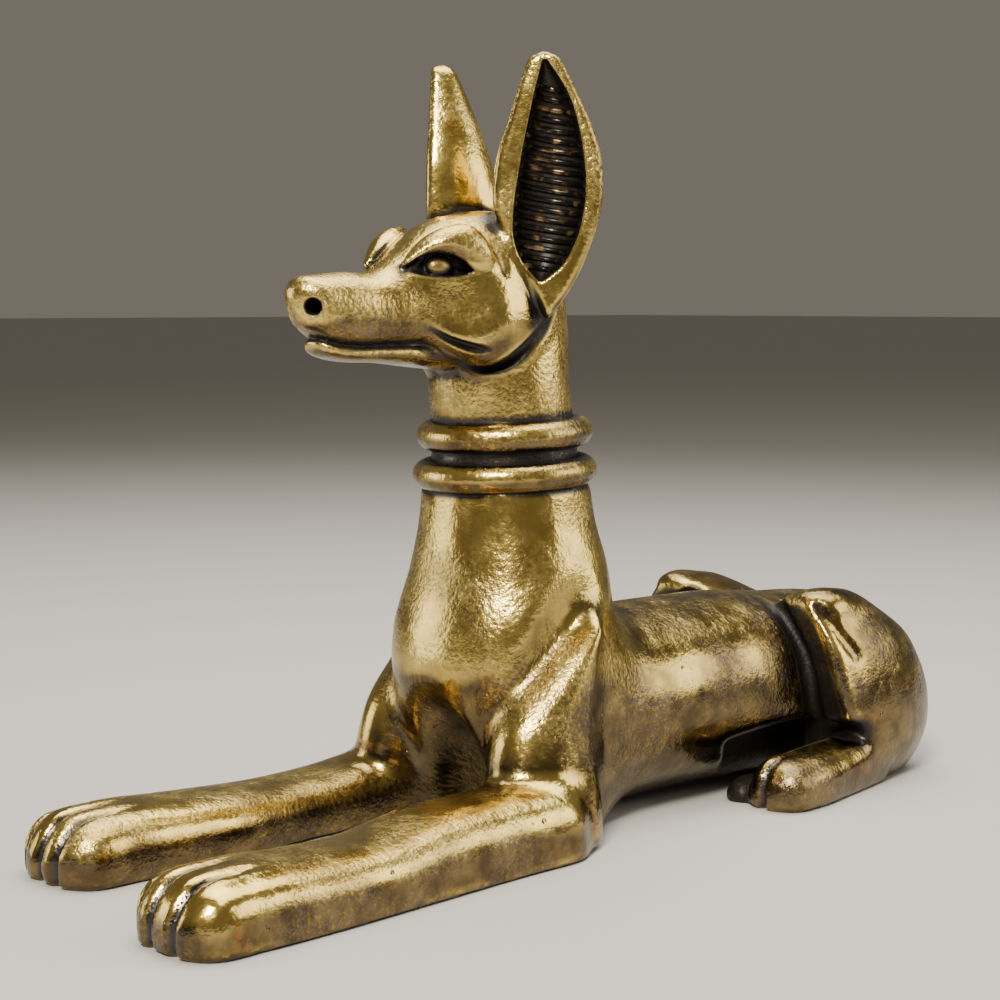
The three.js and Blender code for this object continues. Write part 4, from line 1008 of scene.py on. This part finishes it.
def ear_bowl(x, y, z):
    """The hollow of an ear, shallower where it is narrow."""
    front, across = ear_axes(x, y)
    half = bowl_half(z)
    bowl = oval(across - bowl_shift(z), np.minimum(front, 0), half,
                EAR_BOWL * np.sqrt(half / bowl_widest), 2)
    return np.maximum.reduce([bowl, z - bowl_rises[-1], bowl_rises[0] - z, front - 1.0])


ear_low = (-ear_x - EAR_WIDTH, ear_y - EAR_WIDTH, ear_foot)
ear_high = (ear_x + EAR_WIDTH, ear_y + EAR_WIDTH, ear_foot + EAR_HEIGHT)
ears = boxed(ear_low, ear_high, ear_leaf)
bowls = boxed(ear_low, ear_high, ear_bowl)


def with_head(neck_part, x, y, z):
    """Head and ears on a neck, the cheeks undercut and the ears hollowed."""
    side = np.abs(x)
    d = soft_min(neck_part, head(x, y, z), 0.45)
    d = soft_max(d, -jaw_groove(side, y, z), 0.25)
    d = soft_min(d, ears(x, y, z), 0.35)
    return soft_max(d, -bowls(x, y, z), 0.15)


NECK_START = 0.01       # how far up the neck the head's piece starts, share of the neck
HEAD_STEP = 0.12        # size of a face of the head, in millimetres


def jackal(x, y, z):
    """The whole animal, for the marks of the head's finish."""
    return with_head(body_and_collar(x, y, z), x, y, z)


def cast_head(x, y, z):
    """Neck, head and ears as one closed piece, ended under the lower ring."""
    return np.maximum(with_head(neck(x, y, z), x, y, z),
                      CHEST_HEIGHT + NECK_START * NECK_LENGTH + COLLAR_DIP * y - z)


def open_socket(x, y, z):
    """The eye's socket without the eyeball."""
    return np.maximum(eye_socket(x, y, z), 0.22 - eyeball(x, y, z))


# Black marks: in the eye socket, mouth, nostrils, nose fold, brow edge, cheek crease and ear hollows
# it is patina; along the jaw groove it is painted shadow under the cheek; on the eyeball it is patina
# with a painted dark reflection
HEAD_CUTS = [(open_socket, 0.3, 1.0), (eyeball, 0.1, 0.55), (cheek_crease, 0.3, 0.65),
             (mouth, 0.15, 1.0), (jaw_groove, 0.35, 0.75), (nostril, 0.15, 1.0),
             (nose_fold, 0.2, 0.3), (brow_edge, 0.25, 0.6), (bowls, 0.08, 1.0)]
head_piece = cast_skin(
    "jackal_head", cast_head, jackal, HEAD_CUTS,
    (-ear_x - 0.5 * EAR_WIDTH, head_ruler.y0 - 1.0, CHEST_HEIGHT - 0.6),
    (ear_x + 0.5 * EAR_WIDTH, 0.8 * NECK_WIDTH, ear_foot + EAR_HEIGHT + 0.8), HEAD_STEP)
head_piece.data.materials.append(antique_brass("antique_brass_head", 0.6, 0.2))
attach(head_piece, "root")
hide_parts("jackal_figure")


# The ribs of the ears: fine level bars across each hollow, cast with it and left black, for no
# cloth gets in between them. They follow the bottom of the hollow and end at its rim.
RIB_COUNT = 19
RIB_RADIUS = 0.15
RIB_REACH = 0.42        # half the length of a rib's line, share of the ear's width
RIB_SPAN = 0.19, 0.865  # where the lowest and the highest rib lie, share of the ear's height
RIB_DROP = 0.16         # how far a rib slopes down to the back, share of its length
RIB_STAND_OFF = 1.5     # the lines start this far in front of the open face


def rib_tree():
    """Geometry Nodes for the ribs of one ear: level lines in front of its hollow are thrown onto
    the head, what lands outside the black hollow is dropped, and the rest is swept as bars."""
    ear = Growth("ear_ribs", {
        "Count": "Int", "Lowest": "Vector", "Highest": "Vector", "Left End": "Vector",
        "Right End": "Vector", "Inward": "Vector", "Farthest": "Float", "Bar Radius": "Float",
        "Head": "Object", "Patina": "Material"})
    given = ear.given
    column = ear.node("GeometryNodeMeshLine", {"mode": "END_POINTS"}, Count=given["Count"],
                      Start_Location=given["Lowest"], Offset=given["Highest"])
    line = ear.node("GeometryNodeCurvePrimitiveLine", None, Start=given["Left End"],
                    End=given["Right End"])
    fine = ear.node("GeometryNodeResampleCurve", None, Curve=line, Count=40)
    copies = ear.node("GeometryNodeInstanceOnPoints", None, Points=column, Instance=fine)
    lines = ear.node("GeometryNodeRealizeInstances", None, Geometry=copies)
    head_shape = ear.node("GeometryNodeObjectInfo", None, out="Geometry", Object=given["Head"])
    black = ear.node("GeometryNodeInputNamedAttribute", None, out="Attribute", Name="black")
    hit = ear.node("GeometryNodeRaycast", None, Target_Geometry=head_shape, Attribute=black,
                   Ray_Direction=given["Inward"], Ray_Length=0.01)
    in_hollow = (hit.output("Hit Distance") < given["Farthest"]) * hit.output("Attribute") > 0.5
    kept = ear.node("GeometryNodeSeparateGeometry", None, Geometry=lines, Selection=in_hollow)
    landed = ear.node("GeometryNodeSetPosition", None, Geometry=kept,
                      Position=hit.output("Hit Position"))
    bars = ear.bar(landed, given["Bar Radius"], 10, closed_ends=True)
    return ear.finished(bars, given["Patina"])


THUMBED_BRASS = (0.30, 0.19, 0.09)


def ear_patina():
    """Black patina on the ribs, thin and brassy where a thumb could reach."""
    finish = Finish("ear_patina")
    rubs = finish.spots(finish.node("ShaderNodeTexCoord", out="Object"), 1500.0, 4.0, 0.65)
    return finish.surface(
        Base_Color=finish.colour(rubs.ramp(0.5, 0.72), (0.016, 0.014, 0.013), THUMBED_BRASS),
        Roughness=(0.2 + rubs * 0.2).held(), Metallic=0.8)


ribs = rib_tree()
patina = ear_patina()
for label, side in (("left", 1), ("right", -1)):
    inward = np.array([-side * EAR_OUT, EAR_AHEAD, 0])
    across = np.array([side * EAR_AHEAD, EAR_OUT, 0])
    axis = np.array([side * ear_x, ear_y, 0]) - RIB_STAND_OFF * inward
    reach = RIB_REACH * EAR_WIDTH
    low, high = (axis + np.array([0, 0, ear_foot + share * EAR_HEIGHT]) for share in RIB_SPAN)
    drop = np.array([0, 0, RIB_DROP])
    ribbing = grown("ear_ribs_" + label, ribs, {
        "Count": RIB_COUNT,
        "Lowest": placed(low),
        "Highest": placed(high),
        "Left End": tuple((-across + drop) * reach * MILLIMETRE),
        "Right End": tuple((across - drop) * reach * MILLIMETRE),
        "Inward": tuple(inward),
        "Farthest": (RIB_STAND_OFF + 1.2 * EAR_BOWL) * MILLIMETRE,
        "Bar Radius": RIB_RADIUS * MILLIMETRE,
        "Head": head_piece,
        "Patina": patina})
    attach(ribbing, "root")
    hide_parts("jackal_figure")


# The room: a plain pale floor under soft studio lights, and the camera at the photograph's angle.
FLOOR_SIZE = 6.0
FLOOR_COLOUR = (0.50, 0.49, 0.47, 1.0)
WARM_SKY = (0.80, 0.72, 0.60, 1.0)
SKY_STRENGTH = 0.22
far = FLOOR_SIZE / 2
floor_mesh = bpy.data.meshes.new("floor")
floor_mesh.from_pydata([(-far, -far, 0), (far, -far, 0), (far, far, 0), (-far, far, 0)], [],
                       [(0, 1, 2, 3)])
floor = bpy.data.objects.new("floor", floor_mesh)
bpy.context.collection.objects.link(floor)
floor_mesh.materials.append(Finish("pale_floor").surface(Base_Color=FLOOR_COLOUR, Roughness=0.75))

world = bpy.data.worlds.new("studio")
bpy.context.scene.world = world
world.use_nodes = True
sky = world.node_tree.nodes["Background"]
sky.inputs["Color"].default_value = WARM_SKY
sky.inputs["Strength"].default_value = SKY_STRENGTH


def soft_light(name, place, aim, size, power, colour, spread=180):
    """A square soft box at a place in metres, turned towards a point; its spread is in degrees."""
    lamp = bpy.data.lights.new(name, "AREA")
    lamp.shape = "RECTANGLE"
    lamp.size, lamp.size_y = size
    lamp.energy = power
    lamp.color = colour
    lamp.spread = math.radians(spread)
    stand = bpy.data.objects.new(name, lamp)
    stand.location = place
    stand.rotation_euler = (Vector(aim) - Vector(place)).to_track_quat("-Z", "Y").to_euler()
    bpy.context.collection.objects.link(stand)


AIM = (0, 0, 0.015)     # what the lights are turned to
soft_light("above", (-0.02, 0.05, 0.22), AIM, (0.26, 0.22), 0.34, (1.0, 0.96, 0.86), 100)
soft_light("key", (0.14, -0.20, 0.22), AIM, (0.08, 0.08), 0.18, (1.0, 0.94, 0.80), 60)
soft_light("left", (-0.24, -0.22, 0.06), AIM, (0.16, 0.16), 0.24, (1.0, 0.97, 0.90))
soft_light("right", (0.20, 0.22, 0.12), AIM, (0.20, 0.16), 0.36, (1.0, 0.96, 0.86))

CAMERA_PLACE = (0.0779109, -0.0719959, 0.0257)
CAMERA_TURN = 48.5      # degrees round from the front
CAMERA_DOWN = 5.27      # degrees below the horizon
SENSOR_WIDTH = 36.0
FOCAL_LENGTH = 2.145    # in widths of the sensor
lens = bpy.data.cameras.new("camera")
lens.sensor_width = SENSOR_WIDTH
lens.lens = SENSOR_WIDTH * FOCAL_LENGTH
lens.clip_start = 0.005
camera = bpy.data.objects.new("camera", lens)
camera.location = CAMERA_PLACE
camera.rotation_euler = (math.radians(90 - CAMERA_DOWN), 0, math.radians(CAMERA_TURN))
bpy.context.collection.objects.link(camera)
bpy.context.scene.camera = camera
